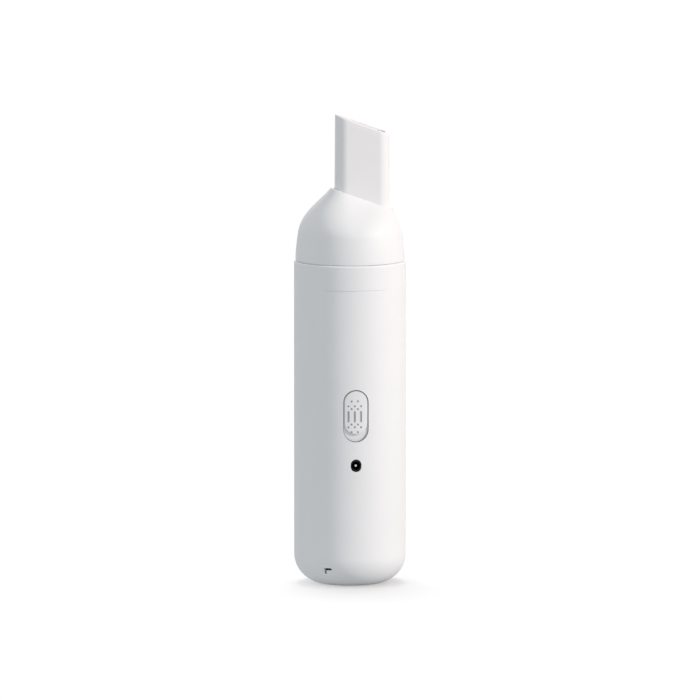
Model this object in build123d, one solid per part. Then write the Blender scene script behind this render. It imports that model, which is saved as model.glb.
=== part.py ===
"""Desktop mini vacuum cleaner: a pocket-size upright cleaner with a lift-off dust cup.

Frame: millimetres, +Z up, the front (switch and charging socket) faces -Y, and the
origin is the centre of the flat base. The flat nozzle stands off centre, towards +X.
Every piece has its own function, which makes it in its place; the last lines write
them all.
"""
from build123d import *
from math import cos, pi, radians, sin, sqrt, tan
import os

# ------------------------------------------------------------------ driving sizes, mm

# Clearances
SEAT = 0.1                   # all round between fixed pieces that slip into each other
RUN = 0.08                   # all round in a sliding or turning fit
FREE = 0.3                   # between pieces that move past each other

# Body sleeve
BODY_DIAMETER = 50.0
BODY_HEIGHT = 145.0          # from the base to the seam under the dust cup
BODY_WALL = 2.0
BASE_ROUND = 13.4            # rounding between the flat base and the side
BASE_THICKNESS = 3.0
SEAM_ROUND = 0.8
MARK_LINE_DROP = 11.2        # how far the fine line round the front lies under the seam
MARK_LINE_HEIGHT = 0.4
MARK_LINE_DEPTH = 0.2
MARK_LINE_SPAN = 70.0        # degrees

# Screws
SCREW_DIAMETER = 2.0
SCREW_HEAD_DIAMETER = 3.6
SCREW_HEAD_HEIGHT = 1.0
SCREW_SLOT = 0.4
SCREW_BOSS_RADIUS = 2.2

# Foot and base screws
FOOT_DIAMETER = 19.0
FOOT_THICKNESS = 1.0
FOOT_PROUD = 0.2
BASE_SCREW_SPREAD = 12.0

# Strap eye in the rounding of the base
STRAP_EYE_ANGLE = -30.4      # degrees from the front, towards -X
STRAP_EYE_TOP = 9.4
STRAP_EYE_WIDTH = 3.7
STRAP_EYE_DROP = 2.7
STRAP_EYE_SLOT = 1.0

# Exhaust slots in the back, and the foam behind them
EXHAUST_DROP = 15.0          # how far their middle lies under the deck
EXHAUST_HEIGHT = 16.0
EXHAUST_SLOT = 1.8
EXHAUST_COUNT = 9
EXHAUST_PITCH = 8.0          # degrees
EXHAUST_FOAM = 1.5
EXHAUST_FOAM_MARGIN = 2.0

# Slide switch
SWITCH_DROP = 6.5            # its middle under the motor frame's plate
RECESS_WIDTH = 10.9
RECESS_HEIGHT = 23.0
RECESS_DEPTH = 1.2
RECESS_FLOOR = 1.8
SLIDER_TRAVEL = 3.0
SLIDER_SET_BACK = 0.2        # slider face behind the body surface
STEM_WIDTH = 3.6
STEM_HEIGHT = 6.0
RETAINER_WIDTH = 9.0
RETAINER_MARGIN = 3.0        # how far the clip reaches past the stem, above and below
RETAINER_THICKNESS = 1.1
FORK_DEPTH = 1.2
FORK_MARGIN = 1.5            # how far the fork reaches past the stem, above and below
FORK_SIDE = 0.8              # and to each side
LEVER_WIDTH = 1.8
LEVER_HEIGHT = 2.4
SWITCH_BODY_WIDTH = 8.4
SWITCH_BODY_HEIGHT = 10.4
SWITCH_BODY_DEPTH = 3.6
SWITCH_BODY_BACK = 1.2

# Grip dimples of the slider
GRIP_PITCH = 2.8
GRIP_RADIUS = 0.45
GRIP_DEPTH = 0.35
GRIP_BAR_HEIGHT = 5.0
GRIP_ROWS = ((3.45, 2), (4.7, 3), (6.9, 2))   # distance from the middle bar, and dots
GRIP_SHIFT = -0.6            # the middle bar beside the slider's middle
GRIP_DROP = 1.8              # and under it

# Charging socket
JACK_DROP = 22.3             # its middle under the middle of the switch
JACK_HOLE_WIDTH = 4.7
JACK_HOLE_HEIGHT = 5.6
JACK_NOSE_GAP = 0.1          # all round between the socket's nose and the hole
JACK_BORE = 3.8
JACK_BORE_BACK = 1.2         # wall behind the bore
JACK_PIN = 1.3
JACK_PIN_SET_BACK = 0.6      # pin tip behind the nose
JACK_BODY = 9.0
JACK_SET_BACK = 0.5          # nose behind the body surface

# Control board
BOARD_DEPTH = 8.4            # its front face behind the sleeve's bore
BOARD_WIDTH = 17.0
BOARD_THICKNESS = 1.6
BOARD_UNDER_JACK = 8.7
BOARD_TOP_GAP = 1.0
BOARD_SCREW_SPREAD = 13.6
BOARD_SCREW_RISES = (-5.7, 12.3)     # from the middle of the socket
BOARD_SCREW_LENGTH = 6.0
BOARD_SCREW_HEAD = 3.2
# What stands on the board: middle across, rise over the socket, width, height, depth
BOARD_PARTS = (
    (-1.6, 8.8, 4.0, 5.0, 1.4),
    (3.0, 8.7, 3.2, 3.2, 2.0),
    (-2.8, 12.9, 0.8, 1.6, 0.8),
    (-0.8, 12.9, 0.8, 1.6, 0.8),
    (1.6, 12.9, 0.8, 1.6, 0.8),
    (3.6, 12.9, 0.8, 1.6, 0.8),
)

# Battery and its cradle
CELL_DIAMETER = 18.4
CELL_LENGTH = 65.0
CELL_Y = 6.0
CELL_ROUND = 0.6
CELL_CAP_DIAMETER = 6.4
CELL_CAP_HEIGHT = 0.8
CELL_PAD = 1.0
CRADLE_WALL = 1.7
CRADLE_FOOT = 2.0
CRADLE_FLOOR = 1.8
CRADLE_WINDOW = 11.0
CRADLE_SCREW_LENGTH = 8.0
CRADLE_SCREW_OUT = 1.2       # screw axis outside the cradle's tube
CRADLE_BOSS_HEIGHT = 12.0
TAB_THICKNESS = 0.3
TAB_WIDTH = 5.0
TAB_RISE = 8.0
TAB_REACH = 6.0

# Wires
LEAD_RADIUS = 0.65
BATTERY_LEAD_X = 1.5
BATTERY_LEAD_BEND = 2.0
BATTERY_LEAD_RISE = 6.0      # where the lower wire meets the board, from its lower edge
MOTOR_LEAD_RISE = 1.5        # motor wires over the upper battery wire
MOTOR_LEAD_BEND = 1.2

# Motor
MOTOR_DIAMETER = 24.4
MOTOR_LENGTH = 27.0
MOTOR_CAN = 1.0
MOTOR_FACE = 1.2
MOTOR_NECK_DIAMETER = 6.4
MOTOR_NECK_GAP = 0.5         # neck under the deck's top
MOTOR_SCREW_SPREAD = 16.0
BUSH_DIAMETER = 4.8
SHAFT_DIAMETER = 2.0
MAGNET_THICKNESS = 2.2
MAGNET_SPAN = 120.0          # degrees
MAGNET_OVERHANG = 1.5
AIR_GAP = 0.5                # between magnets and rotor
CORE_DROP = 5.5              # rotor plates under the can's face
CORE_LENGTH = 12.0
CORE_HUB_RADIUS = 3.4
POLE_COUNT = 3
POLE_TIP = 1.4
POLE_GAP = 1.2
COIL_SPACE = 4.4
WINDING_HEIGHT = 2.6
WINDING_INSET = 1.0
WINDING_ROUND = 0.8
COMMUTATOR_DIAMETER = 6.0
COMMUTATOR_LENGTH = 4.0
BRUSH_WIDTH = 1.8
BRUSH_MARGIN = 0.6
END_CAP = 2.5
END_CAP_PLUG = 1.2
TERMINAL_SPREAD = 11.6
TERMINAL_WIDTH = 2.4
TERMINAL_THICKNESS = 0.6
TERMINAL_PROUD = 2.0
DAMPER = 1.0
DAMPER_RISE = 8.0
DAMPER_HEIGHT = 6.0

# Motor frame and deck
CELL_HEADROOM = 11.5         # plate over the cell's cap, where the wires pass
PLATE_THICKNESS = 2.5
PLATE_HOLE = 20.4
MOUNT_WALL = 1.5
MOUNT_SHORT = 4.0            # the tube round the motor ends this far over the can's end
POST_INSET = 3.4             # axes of the tower posts inside the sleeve's bore
POST_ANGLES = (20.0, 160.0, 230.0, 310.0)
TOWER_SCREW_GRIP = 8.0       # how deep the tower screws reach into the posts
AIR_SLOT_GAP = 1.5           # air slots outside the motor's tube
AIR_SLOTS = ((90.0, 110.0), (195.0, 40.0), (270.0, 50.0), (345.0, 40.0))    # middle, span

# Fan chamber and fan
SHROUD_HEIGHT = 13.5
SHROUD_WALL = 1.5
EYE_DIAMETER = 17.0
IMPELLER_GAP = 0.9           # blade tips inside the screw bosses
IMPELLER_RISE = 1.0          # over the deck
IMPELLER_HEIGHT = 9.0
IMPELLER_DISC = 1.2
BLADE_COUNT = 9
BLADE_THICKNESS = 0.8
BLADE_SWEEP = 38.0           # degrees that a blade leans back
BLADE_SET_BACK = 0.3         # blade tips inside the disc's edge
HUB_DIAMETER = 8.8
HUB_DROP = 1.6               # hub under the blades' edge
HUB_BUSH_DIAMETER = 4.8
SHAFT_PROUD = 0.6            # shaft over the hub

# Filter
FILTER_SEAT_DROP = 11.0      # top of the fan chamber under the seam
SEAL_HEIGHT = 1.2
SEAL_WIDTH = 1.2
FILTER_WALL = 1.4
FILTER_HEIGHT = 10.4
FILTER_RIB = 1.6
PLEAT_PITCH = 2.4
PLEAT_THICKNESS = 0.5
MESH_THICKNESS = 0.5

# Dust cup
CUP_STEP = 0.6               # the cup is this much inside the sleeve surface
CUP_WALL = 1.8
SPIGOT_LENGTH = 8.0
SPIGOT_WALL = 1.5
COLLAR_HEIGHT = 2.0
SEAL_RING_DEPTH = 0.8
SEAL_RING_HEIGHT = 1.6
SEAL_RING_RISE = 3.0         # middle of the ring over the spigot's end
SHOULDER_RISE = 12.0         # from the seam to where the dome starts to close
SHOULDER_INSET = 1.1
SHOULDER_BULGE = 0.2         # how far the side bows out between seam and shoulder
SOCKET_RIM_RISE = 27.8       # middle of the slanted rim over the seam
SOCKET_BOTTOM_RISE = 12.6    # lower end of the nozzle socket over the seam
SOCKET_WALL = 1.35
SOCKET_LEDGE = 2.4
RIM_TILT = 19.5              # degrees down towards +X

# How the dome closes between shoulder and rim. Each level gives the share of the rise,
# then the share of the way in on the -X side, on the +X side, and front and back.
DOME_LEVELS = (
    (0.30, 0.14, 0.25, 0.15),
    (0.62, 0.49, 0.52, 0.49),
    (1.00, 1.00, 1.00, 1.00),
)
OUTLINE_STEPS = 8            # points on a quarter of a dome outline

# Nozzle
NOZZLE_OFFSET = 5.4
NOZZLE_WIDTH = 24.0
NOZZLE_DEPTH = 12.4
NOZZLE_CORNER = 4.9
NOZZLE_WALL = 1.3
NOZZLE_DRAFT = 0.35          # degrees
NOZZLE_REACH = 33.4          # middle of the slanted mouth over the middle of the rim
MOUTH_TILT = 20.0            # degrees down towards +X
LIP_ROUND = 0.4

# ------------------------------------------------------------------ sizes that follow

# Sleeve
BODY_RADIUS = BODY_DIAMETER / 2
BORE_RADIUS = BODY_RADIUS - BODY_WALL
INSERT_RADIUS = BORE_RADIUS - SEAT
FLOOR_TOP = FOOT_PROUD + BASE_THICKNESS
OUTSIDE = BODY_RADIUS + 1.0              # just clear of the surface, where cuts start
SCREW_RADIUS = SCREW_DIAMETER / 2
SCREW_HEAD_RADIUS = SCREW_HEAD_DIAMETER / 2
FOOT_RADIUS = FOOT_DIAMETER / 2
BASE_HEAD_TOP = FOOT_THICKNESS + SCREW_HEAD_HEIGHT
BASE_SCREW_XS = (-BASE_SCREW_SPREAD / 2, BASE_SCREW_SPREAD / 2)

# Stack from the seam down: filter seat, fan chamber, deck and motor
SHROUD_TOP = BODY_HEIGHT - FILTER_SEAT_DROP
DECK_TOP = SHROUD_TOP - SHROUD_HEIGHT
DECK_BOTTOM = DECK_TOP - PLATE_THICKNESS
MOTOR_FACE_BOTTOM = DECK_BOTTOM - MOTOR_FACE
MOTOR_BOTTOM = DECK_BOTTOM - MOTOR_LENGTH
END_CAP_BOTTOM = MOTOR_BOTTOM - END_CAP
EXHAUST_CENTRE = DECK_BOTTOM - EXHAUST_DROP

# Stack from the base up: cradle, cell, frame plate, and the switch and socket under it
CRADLE_FLOOR_BOTTOM = FLOOR_TOP + CRADLE_FOOT
CRADLE_FLOOR_TOP = CRADLE_FLOOR_BOTTOM + CRADLE_FLOOR
CELL_BOTTOM = CRADLE_FLOOR_TOP + CELL_PAD
CELL_TOP = CELL_BOTTOM + CELL_LENGTH
TAB_TOP = CELL_TOP + TAB_THICKNESS
PLATE_BOTTOM = CELL_TOP + CELL_HEADROOM
PLATE_TOP = PLATE_BOTTOM + PLATE_THICKNESS
SWITCH_Z = PLATE_BOTTOM - SWITCH_DROP
JACK_Z = SWITCH_Z - JACK_DROP
UPPER_LEAD_Z = (TAB_TOP + PLATE_BOTTOM) / 2
MOTOR_LEAD_Z = UPPER_LEAD_Z + MOTOR_LEAD_RISE

# Slide switch
RECESS_FLOOR_Y = RECESS_DEPTH - BODY_RADIUS
BOSS_BACK_Y = RECESS_FLOOR_Y + RECESS_FLOOR
BOSS_WIDTH = RECESS_WIDTH + 2 * BODY_WALL
BOSS_HEIGHT = RECESS_HEIGHT + 2 * BODY_WALL
STEM_SLOT_WIDTH = STEM_WIDTH + 2 * FREE
STEM_SLOT_HEIGHT = STEM_HEIGHT + SLIDER_TRAVEL + 2 * FREE
SLIDER_WIDTH = RECESS_WIDTH - 2 * FREE
SLIDER_HEIGHT = RECESS_HEIGHT - SLIDER_TRAVEL - 2 * FREE
SLIDER_Z = SWITCH_Z + SLIDER_TRAVEL / 2
SLIDER_BACK_Y = RECESS_FLOOR_Y - RUN
RETAINER_FRONT_Y = BOSS_BACK_Y + FREE
RETAINER_BACK_Y = RETAINER_FRONT_Y + RETAINER_THICKNESS
FORK_BACK_Y = RETAINER_BACK_Y + FORK_DEPTH

# Board
BOARD_FRONT_Y = BOARD_DEPTH - BORE_RADIUS
BOARD_BACK_Y = BOARD_FRONT_Y + BOARD_THICKNESS
BOARD_BOTTOM = JACK_Z - BOARD_UNDER_JACK
BOARD_TOP = PLATE_BOTTOM - BOARD_TOP_GAP
BOARD_SCREW_SPOTS = [
    (side * BOARD_SCREW_SPREAD / 2, JACK_Z + rise)
    for rise in BOARD_SCREW_RISES
    for side in (-1, 1)
]
SWITCH_BODY_FRONT_Y = BOARD_FRONT_Y - SWITCH_BODY_DEPTH
LEVER_BACK_Y = BOARD_FRONT_Y - SWITCH_BODY_BACK
JACK_NOSE_WIDTH = JACK_HOLE_WIDTH - 2 * JACK_NOSE_GAP
JACK_NOSE_HEIGHT = JACK_HOLE_HEIGHT - 2 * JACK_NOSE_GAP
JACK_FRONT_Y = JACK_SET_BACK - BODY_RADIUS
JACK_BORE_END_Y = BOARD_FRONT_Y - JACK_BORE_BACK

# Battery
CELL_RADIUS = CELL_DIAMETER / 2
CELL_FRONT_Y = CELL_Y - CELL_RADIUS
CRADLE_BORE = CELL_RADIUS + FREE
CRADLE_RADIUS = CRADLE_BORE + CRADLE_WALL
CRADLE_SCREW_XS = (-CRADLE_RADIUS - CRADLE_SCREW_OUT, CRADLE_RADIUS + CRADLE_SCREW_OUT)

# Motor
MOTOR_RADIUS = MOTOR_DIAMETER / 2
MOTOR_INNER = MOTOR_RADIUS - MOTOR_CAN
NECK_RADIUS = MOTOR_NECK_DIAMETER / 2
NECK_TOP = DECK_TOP - MOTOR_NECK_GAP
BUSH_RADIUS = BUSH_DIAMETER / 2
BUSH_BORE = SHAFT_DIAMETER / 2 + RUN / 2
SHAFT_RADIUS = SHAFT_DIAMETER / 2
MAGNET_INNER = MOTOR_INNER - MAGNET_THICKNESS
CORE_RADIUS = MAGNET_INNER - AIR_GAP
CORE_TOP = MOTOR_FACE_BOTTOM - CORE_DROP
CORE_BOTTOM = CORE_TOP - CORE_LENGTH
COMMUTATOR_RADIUS = COMMUTATOR_DIAMETER / 2
COMMUTATOR_TOP = CORE_BOTTOM - WINDING_HEIGHT
COMMUTATOR_BOTTOM = COMMUTATOR_TOP - COMMUTATOR_LENGTH
TERMINAL_X = TERMINAL_SPREAD / 2
TERMINAL_BOTTOM = END_CAP_BOTTOM - TERMINAL_PROUD
MOTOR_SCREW_XS = (-MOTOR_SCREW_SPREAD / 2, MOTOR_SCREW_SPREAD / 2)
MOUNT_BORE = MOTOR_RADIUS + DAMPER
MOUNT_RADIUS = MOUNT_BORE + MOUNT_WALL
MOUNT_BOTTOM = MOTOR_BOTTOM + MOUNT_SHORT
POST_CIRCLE = BORE_RADIUS - POST_INSET

# Fan
IMPELLER_RADIUS = POST_CIRCLE - SCREW_BOSS_RADIUS - IMPELLER_GAP
IMPELLER_BOTTOM = DECK_TOP + IMPELLER_RISE
IMPELLER_TOP = IMPELLER_BOTTOM + IMPELLER_HEIGHT
HUB_RADIUS = HUB_DIAMETER / 2
HUB_BUSH_RADIUS = HUB_BUSH_DIAMETER / 2
HUB_TOP = IMPELLER_TOP - HUB_DROP
SHAFT_TOP = HUB_TOP + SHAFT_PROUD

# Filter and spigot of the cup
SEAL_TOP = SHROUD_TOP + SEAL_HEIGHT
SPIGOT_RADIUS = BORE_RADIUS - RUN
SPIGOT_INNER = SPIGOT_RADIUS - SPIGOT_WALL
SPIGOT_BOTTOM = BODY_HEIGHT - SPIGOT_LENGTH
SEAL_RING_BOTTOM = SPIGOT_BOTTOM + SEAL_RING_RISE - SEAL_RING_HEIGHT / 2
SEAL_RING_TOP = SEAL_RING_BOTTOM + SEAL_RING_HEIGHT
FILTER_RADIUS = SPIGOT_INNER - FREE
FILTER_INNER = FILTER_RADIUS - FILTER_WALL
FILTER_TOP = SEAL_TOP + FILTER_HEIGHT
MESH_BOTTOM = FILTER_TOP - MESH_THICKNESS
RIB_TOP = SEAL_TOP + FILTER_RIB

# Cup and nozzle
CUP_RADIUS = BODY_RADIUS - CUP_STEP
SHOULDER_Z = BODY_HEIGHT + SHOULDER_RISE
SHOULDER_RADIUS = CUP_RADIUS - SHOULDER_INSET
SOCKET_RIM_Z = BODY_HEIGHT + SOCKET_RIM_RISE
SOCKET_BOTTOM = BODY_HEIGHT + SOCKET_BOTTOM_RISE
SHANK_BOTTOM = SOCKET_BOTTOM + SOCKET_LEDGE
NOZZLE_TIP_Z = SOCKET_RIM_Z + NOZZLE_REACH
NOZZLE_LENGTH = NOZZLE_TIP_Z - SHANK_BOTTOM
NOZZLE_FLARE = NOZZLE_LENGTH * tan(radians(NOZZLE_DRAFT))
SHANK_WIDTH = NOZZLE_WIDTH + 2 * NOZZLE_FLARE
SHANK_DEPTH = NOZZLE_DEPTH + 2 * NOZZLE_FLARE
SHANK_CORNER = NOZZLE_CORNER + NOZZLE_FLARE
DUCT_WIDTH = NOZZLE_WIDTH - 2 * NOZZLE_WALL
DUCT_DEPTH = NOZZLE_DEPTH - 2 * NOZZLE_WALL
DUCT_CORNER = NOZZLE_CORNER - NOZZLE_WALL
RIM_HALF_WIDTH = SHANK_WIDTH / 2 + RUN + SOCKET_WALL
RIM_HALF_DEPTH = SHANK_DEPTH / 2 + RUN + SOCKET_WALL
RIM_CORNER = SHANK_CORNER + RUN + SOCKET_WALL

# ------------------------------------------------------------------ basic shapes

STANDING = (Align.CENTER, Align.CENTER, Align.MIN)


def rod(radius, z0, z1, x=0.0, y=0.0):
    """Round bar along Z."""
    return Pos(x, y, z0) * Cylinder(radius, z1 - z0, align=STANDING)


def ring(outer, inner, z0, z1):
    """Round tube on the body's axis."""
    return rod(outer, z0, z1) - rod(inner, z0, z1)


def block(x0, x1, y0, y1, z0, z1):
    """Box between two corners."""
    size = Box(x1 - x0, y1 - y0, z1 - z0)
    return Pos((x0 + x1) / 2, (y0 + y1) / 2, (z0 + z1) / 2) * size


def upright_block(x, z, width, height, y0, y1):
    """Box about a middle in the front view, between two depths."""
    return block(x - width / 2, x + width / 2, y0, y1, z - height / 2, z + height / 2)


def sector(outer, inner, z0, z1, middle, span):
    """Part of a ring, span degrees wide about the angle middle."""
    section = Pos((outer + inner) / 2, (z0 + z1) / 2) * Rectangle(outer - inner, z1 - z0)
    return Rot(0, 0, middle - span / 2) * revolve(Plane.XZ * section, Axis.Z, span)


def front_prism(outline, x, z, y0, y1):
    """Outline in the front view, run from depth y1 forwards to depth y0."""
    face = Plane(origin=(x, y1, z), x_dir=(1, 0, 0), z_dir=(0, -1, 0))
    return extrude(face * outline, y1 - y0)


def front_rod(radius, x, z, y0, y1):
    """Round bar along Y between two depths."""
    return front_prism(Circle(radius), x, z, y0, y1)


def upright_slot(width, height):
    """Outline of a slot with round ends that stands upright."""
    return SlotOverall(height, width, rotation=90)


def flat_duct(width, depth, corner, z0, z1):
    """Rounded rectangular bar on the nozzle's axis."""
    outline = RectangleRounded(width, depth, corner)
    return extrude(Pos(NOZZLE_OFFSET, 0, z0) * outline, z1 - z0)


def above_slant(z, tilt):
    """Everything above a plane that crosses the nozzle's axis at z, tilted down to +X."""
    size = 4 * BODY_RADIUS
    return Pos(NOZZLE_OFFSET, 0, z) * Rot(0, tilt, 0) * Box(size, size, size, align=STANDING)


def at_xs(xs, piece, y=0.0):
    """One copy of a piece, made about the Z axis, at each place across."""
    return [Pos(x, y, 0) * piece for x in xs]


def at_posts(piece):
    """One copy of a piece, made about the Z axis, at each tower post."""
    return [Rot(0, 0, angle) * Pos(POST_CIRCLE, 0, 0) * piece for angle in POST_ANGLES]


def added(body, pieces):
    """Body with each piece joined to it."""
    for piece in pieces:
        body += piece
    return body


def cut(body, pieces):
    """Body with each piece taken out of it."""
    for piece in pieces:
        body -= piece
    return body


def screw(bearing, length, up):
    """Cross-head screw along Z. Its head bears at one height and its shank runs up or down."""
    step = 1 if up else -1
    tip = bearing + step * length
    top = bearing - step * SCREW_HEAD_HEIGHT
    shank = rod(SCREW_RADIUS, min(bearing, tip), max(bearing, tip))
    head = rod(SCREW_HEAD_RADIUS, min(bearing, top), max(bearing, top))
    slot = Box(SCREW_HEAD_RADIUS, SCREW_SLOT, SCREW_HEAD_HEIGHT)
    cross = slot + Rot(0, 0, 90) * slot
    return shank + head - Pos(0, 0, top) * cross


def lead(points, bend):
    """Insulated wire along straight runs with round bends."""
    path = FilletPolyline(*points, radius=bend)
    start = Plane(origin=path @ 0, z_dir=path % 0)
    return sweep(start * Circle(LEAD_RADIUS), path=path)


# ------------------------------------------------------------------ body sleeve and base

def round_bottomed(radius, rounding, z0, z1):
    """Round bar with a rounded lower edge."""
    bar = rod(radius, z0, z1)
    return fillet(bar.edges().group_by(Axis.Z)[0], rounding)


def strap_eye():
    """Hook-shaped slot through the rounding of the base."""
    half = STRAP_EYE_WIDTH / 2
    top = STRAP_EYE_TOP
    inside = 2 * BODY_WALL - BORE_RADIUS
    bar = block(-half, half, -BODY_RADIUS, inside, top - STRAP_EYE_SLOT, top)
    leg = block(-half, -half + STRAP_EYE_SLOT, -BODY_RADIUS, inside, top - STRAP_EYE_DROP, top)
    return Rot(0, 0, STRAP_EYE_ANGLE) * (bar + leg)


def exhaust_slots():
    """Row of upright slots in the back."""
    outline = upright_slot(EXHAUST_SLOT, EXHAUST_HEIGHT)
    slot = front_prism(outline, 0, EXHAUST_CENTRE, BORE_RADIUS - BODY_WALL, OUTSIDE)
    first = -EXHAUST_PITCH * (EXHAUST_COUNT - 1) / 2
    return [Rot(0, 0, first + k * EXHAUST_PITCH) * slot for k in range(EXHAUST_COUNT)]


def sleeve():
    """One-piece outer body, open at the top."""
    shell = round_bottomed(BODY_RADIUS, BASE_ROUND, FOOT_PROUD, BODY_HEIGHT)
    shell = fillet(shell.edges().group_by(Axis.Z)[-1], SEAM_ROUND)
    cavity_round = BASE_ROUND - BODY_WALL
    cavity = round_bottomed(BORE_RADIUS, cavity_round, FOOT_PROUD + BODY_WALL, BODY_HEIGHT)
    shell -= cavity - rod(BODY_RADIUS, 0, FLOOR_TOP)

    boss = upright_block(0, SWITCH_Z, BOSS_WIDTH, BOSS_HEIGHT, -BODY_RADIUS, BOSS_BACK_Y)
    shell += boss & rod(BORE_RADIUS + BODY_WALL / 2, 0, BODY_HEIGHT)
    recess = upright_slot(RECESS_WIDTH, RECESS_HEIGHT)
    shell -= front_prism(recess, 0, SWITCH_Z, -OUTSIDE, RECESS_FLOOR_Y)
    shell -= upright_block(0, SWITCH_Z, STEM_SLOT_WIDTH, STEM_SLOT_HEIGHT,
                           -BODY_RADIUS, BOSS_BACK_Y)

    jack_hole = upright_slot(JACK_HOLE_WIDTH, JACK_HOLE_HEIGHT)
    shell -= front_prism(jack_hole, 0, JACK_Z, -OUTSIDE, BODY_WALL - BORE_RADIUS)
    line_z = BODY_HEIGHT - MARK_LINE_DROP
    shell -= sector(OUTSIDE, BODY_RADIUS - MARK_LINE_DEPTH, line_z - MARK_LINE_HEIGHT / 2,
                    line_z + MARK_LINE_HEIGHT / 2, -90, MARK_LINE_SPAN)
    shell -= strap_eye()
    shell = cut(shell, exhaust_slots())

    shell -= rod(FOOT_RADIUS + SEAT, 0, FOOT_THICKNESS)
    shell = cut(shell, at_xs(BASE_SCREW_XS, rod(SCREW_HEAD_RADIUS + SEAT, 0, BASE_HEAD_TOP)))
    return cut(shell, at_xs(BASE_SCREW_XS, rod(SCREW_RADIUS + SEAT, 0, FLOOR_TOP)))


def foot_pad():
    """Rubber disc that hides the base screws."""
    pad = rod(FOOT_RADIUS, 0, FOOT_THICKNESS)
    return fillet(pad.edges().group_by(Axis.Z)[0], FOOT_PROUD)


def base_screws():
    """Two screws that hold the battery cradle down in the sleeve."""
    return at_xs(BASE_SCREW_XS, screw(BASE_HEAD_TOP, CRADLE_FLOOR_TOP - BASE_HEAD_TOP, True))


def exhaust_foam():
    """Thin foam sheet behind the exhaust slots."""
    span = EXHAUST_COUNT * EXHAUST_PITCH
    rise = EXHAUST_HEIGHT / 2 + EXHAUST_FOAM_MARGIN
    return sector(INSERT_RADIUS, INSERT_RADIUS - EXHAUST_FOAM, EXHAUST_CENTRE - rise,
                  EXHAUST_CENTRE + rise, 90, span)


# ------------------------------------------------------------------ battery and its cradle

def battery_cradle():
    """Tube-shaped carrier with a front window, from the base up to the motor frame."""
    body = rod(BODY_RADIUS - BASE_ROUND - SEAT, FLOOR_TOP, CRADLE_FLOOR_TOP)
    body += rod(CRADLE_RADIUS, CRADLE_FLOOR_BOTTOM, PLATE_BOTTOM, 0, CELL_Y)
    boss = rod(SCREW_BOSS_RADIUS, PLATE_BOTTOM - CRADLE_BOSS_HEIGHT, PLATE_BOTTOM)
    body = added(body, at_xs(CRADLE_SCREW_XS, boss, CELL_Y))
    for x, z in BOARD_SCREW_SPOTS:
        body += front_rod(SCREW_BOSS_RADIUS, x, z, BOARD_BACK_Y, 0)

    body -= rod(CRADLE_BORE, CRADLE_FLOOR_TOP, PLATE_BOTTOM, 0, CELL_Y)
    window = CRADLE_WINDOW / 2
    wire_window = TERMINAL_X + TERMINAL_WIDTH
    body -= block(-window, window, -BORE_RADIUS, CELL_Y, CRADLE_FLOOR_TOP, PLATE_BOTTOM)
    body -= block(-wire_window, wire_window, -BORE_RADIUS, CELL_Y, TAB_TOP, PLATE_BOTTOM)

    body = cut(body, at_xs(BASE_SCREW_XS, rod(SCREW_RADIUS, FLOOR_TOP, CRADLE_FLOOR_TOP)))
    thread = rod(SCREW_RADIUS, PLATE_TOP - CRADLE_SCREW_LENGTH, PLATE_BOTTOM)
    body = cut(body, at_xs(CRADLE_SCREW_XS, thread, CELL_Y))
    for x, z in BOARD_SCREW_SPOTS:
        body -= front_rod(SCREW_RADIUS, x, z, BOARD_BACK_Y, BOARD_FRONT_Y + BOARD_SCREW_LENGTH)
    return body


def cradle_screws():
    """Two screws that hold the motor frame on the cradle."""
    return at_xs(CRADLE_SCREW_XS, screw(PLATE_TOP, CRADLE_SCREW_LENGTH, False), CELL_Y)


def battery_pad():
    """Foam disc under the cell."""
    return rod(CELL_RADIUS, CRADLE_FLOOR_TOP, CELL_BOTTOM - TAB_THICKNESS, 0, CELL_Y)


def battery_cell():
    """Round lithium cell with its raised positive cap."""
    can_top = CELL_TOP - CELL_CAP_HEIGHT
    can = fillet(rod(CELL_RADIUS, CELL_BOTTOM, can_top, 0, CELL_Y).edges(), CELL_ROUND)
    return can + rod(CELL_CAP_DIAMETER / 2, can_top, CELL_TOP, 0, CELL_Y)


def battery_tabs():
    """Welded strips: one under the cell that turns up its front, one on its cap."""
    half = TAB_WIDTH / 2
    bottom = CELL_BOTTOM - TAB_THICKNESS
    front = CELL_FRONT_Y - TAB_THICKNESS
    under = block(-half, half, front, CELL_Y, bottom, CELL_BOTTOM)
    upright = block(-half, half, front, CELL_FRONT_Y, bottom, bottom + TAB_RISE)
    over = block(-half, half, CELL_Y - TAB_REACH, CELL_Y, CELL_TOP, TAB_TOP)
    return [under + upright, over]


def battery_leads():
    """Two wires from the cell's strips to the back of the board."""
    up_y = CELL_FRONT_Y - TAB_THICKNESS - LEAD_RADIUS
    low_z = CELL_BOTTOM + TAB_RISE / 2
    board_z = BOARD_BOTTOM + BATTERY_LEAD_RISE
    over_y = CELL_Y - TAB_REACH / 2
    x = BATTERY_LEAD_X
    minus = [(-x, up_y, low_z), (-x, up_y, board_z), (-x, BOARD_BACK_Y, board_z)]
    plus = [(x, over_y, TAB_TOP), (x, over_y, UPPER_LEAD_Z), (x, BOARD_BACK_Y, UPPER_LEAD_Z)]
    return [lead(minus, BATTERY_LEAD_BEND), lead(plus, BATTERY_LEAD_BEND)]


# ------------------------------------------------------------------ board, switch and socket

def control_board():
    """Circuit board behind the switch and the socket."""
    half = BOARD_WIDTH / 2
    board = block(-half, half, BOARD_FRONT_Y, BOARD_BACK_Y, BOARD_BOTTOM, BOARD_TOP)
    holes = [front_rod(SCREW_RADIUS, x, z, BOARD_FRONT_Y, BOARD_BACK_Y)
             for x, z in BOARD_SCREW_SPOTS]
    return cut(board, holes)


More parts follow.
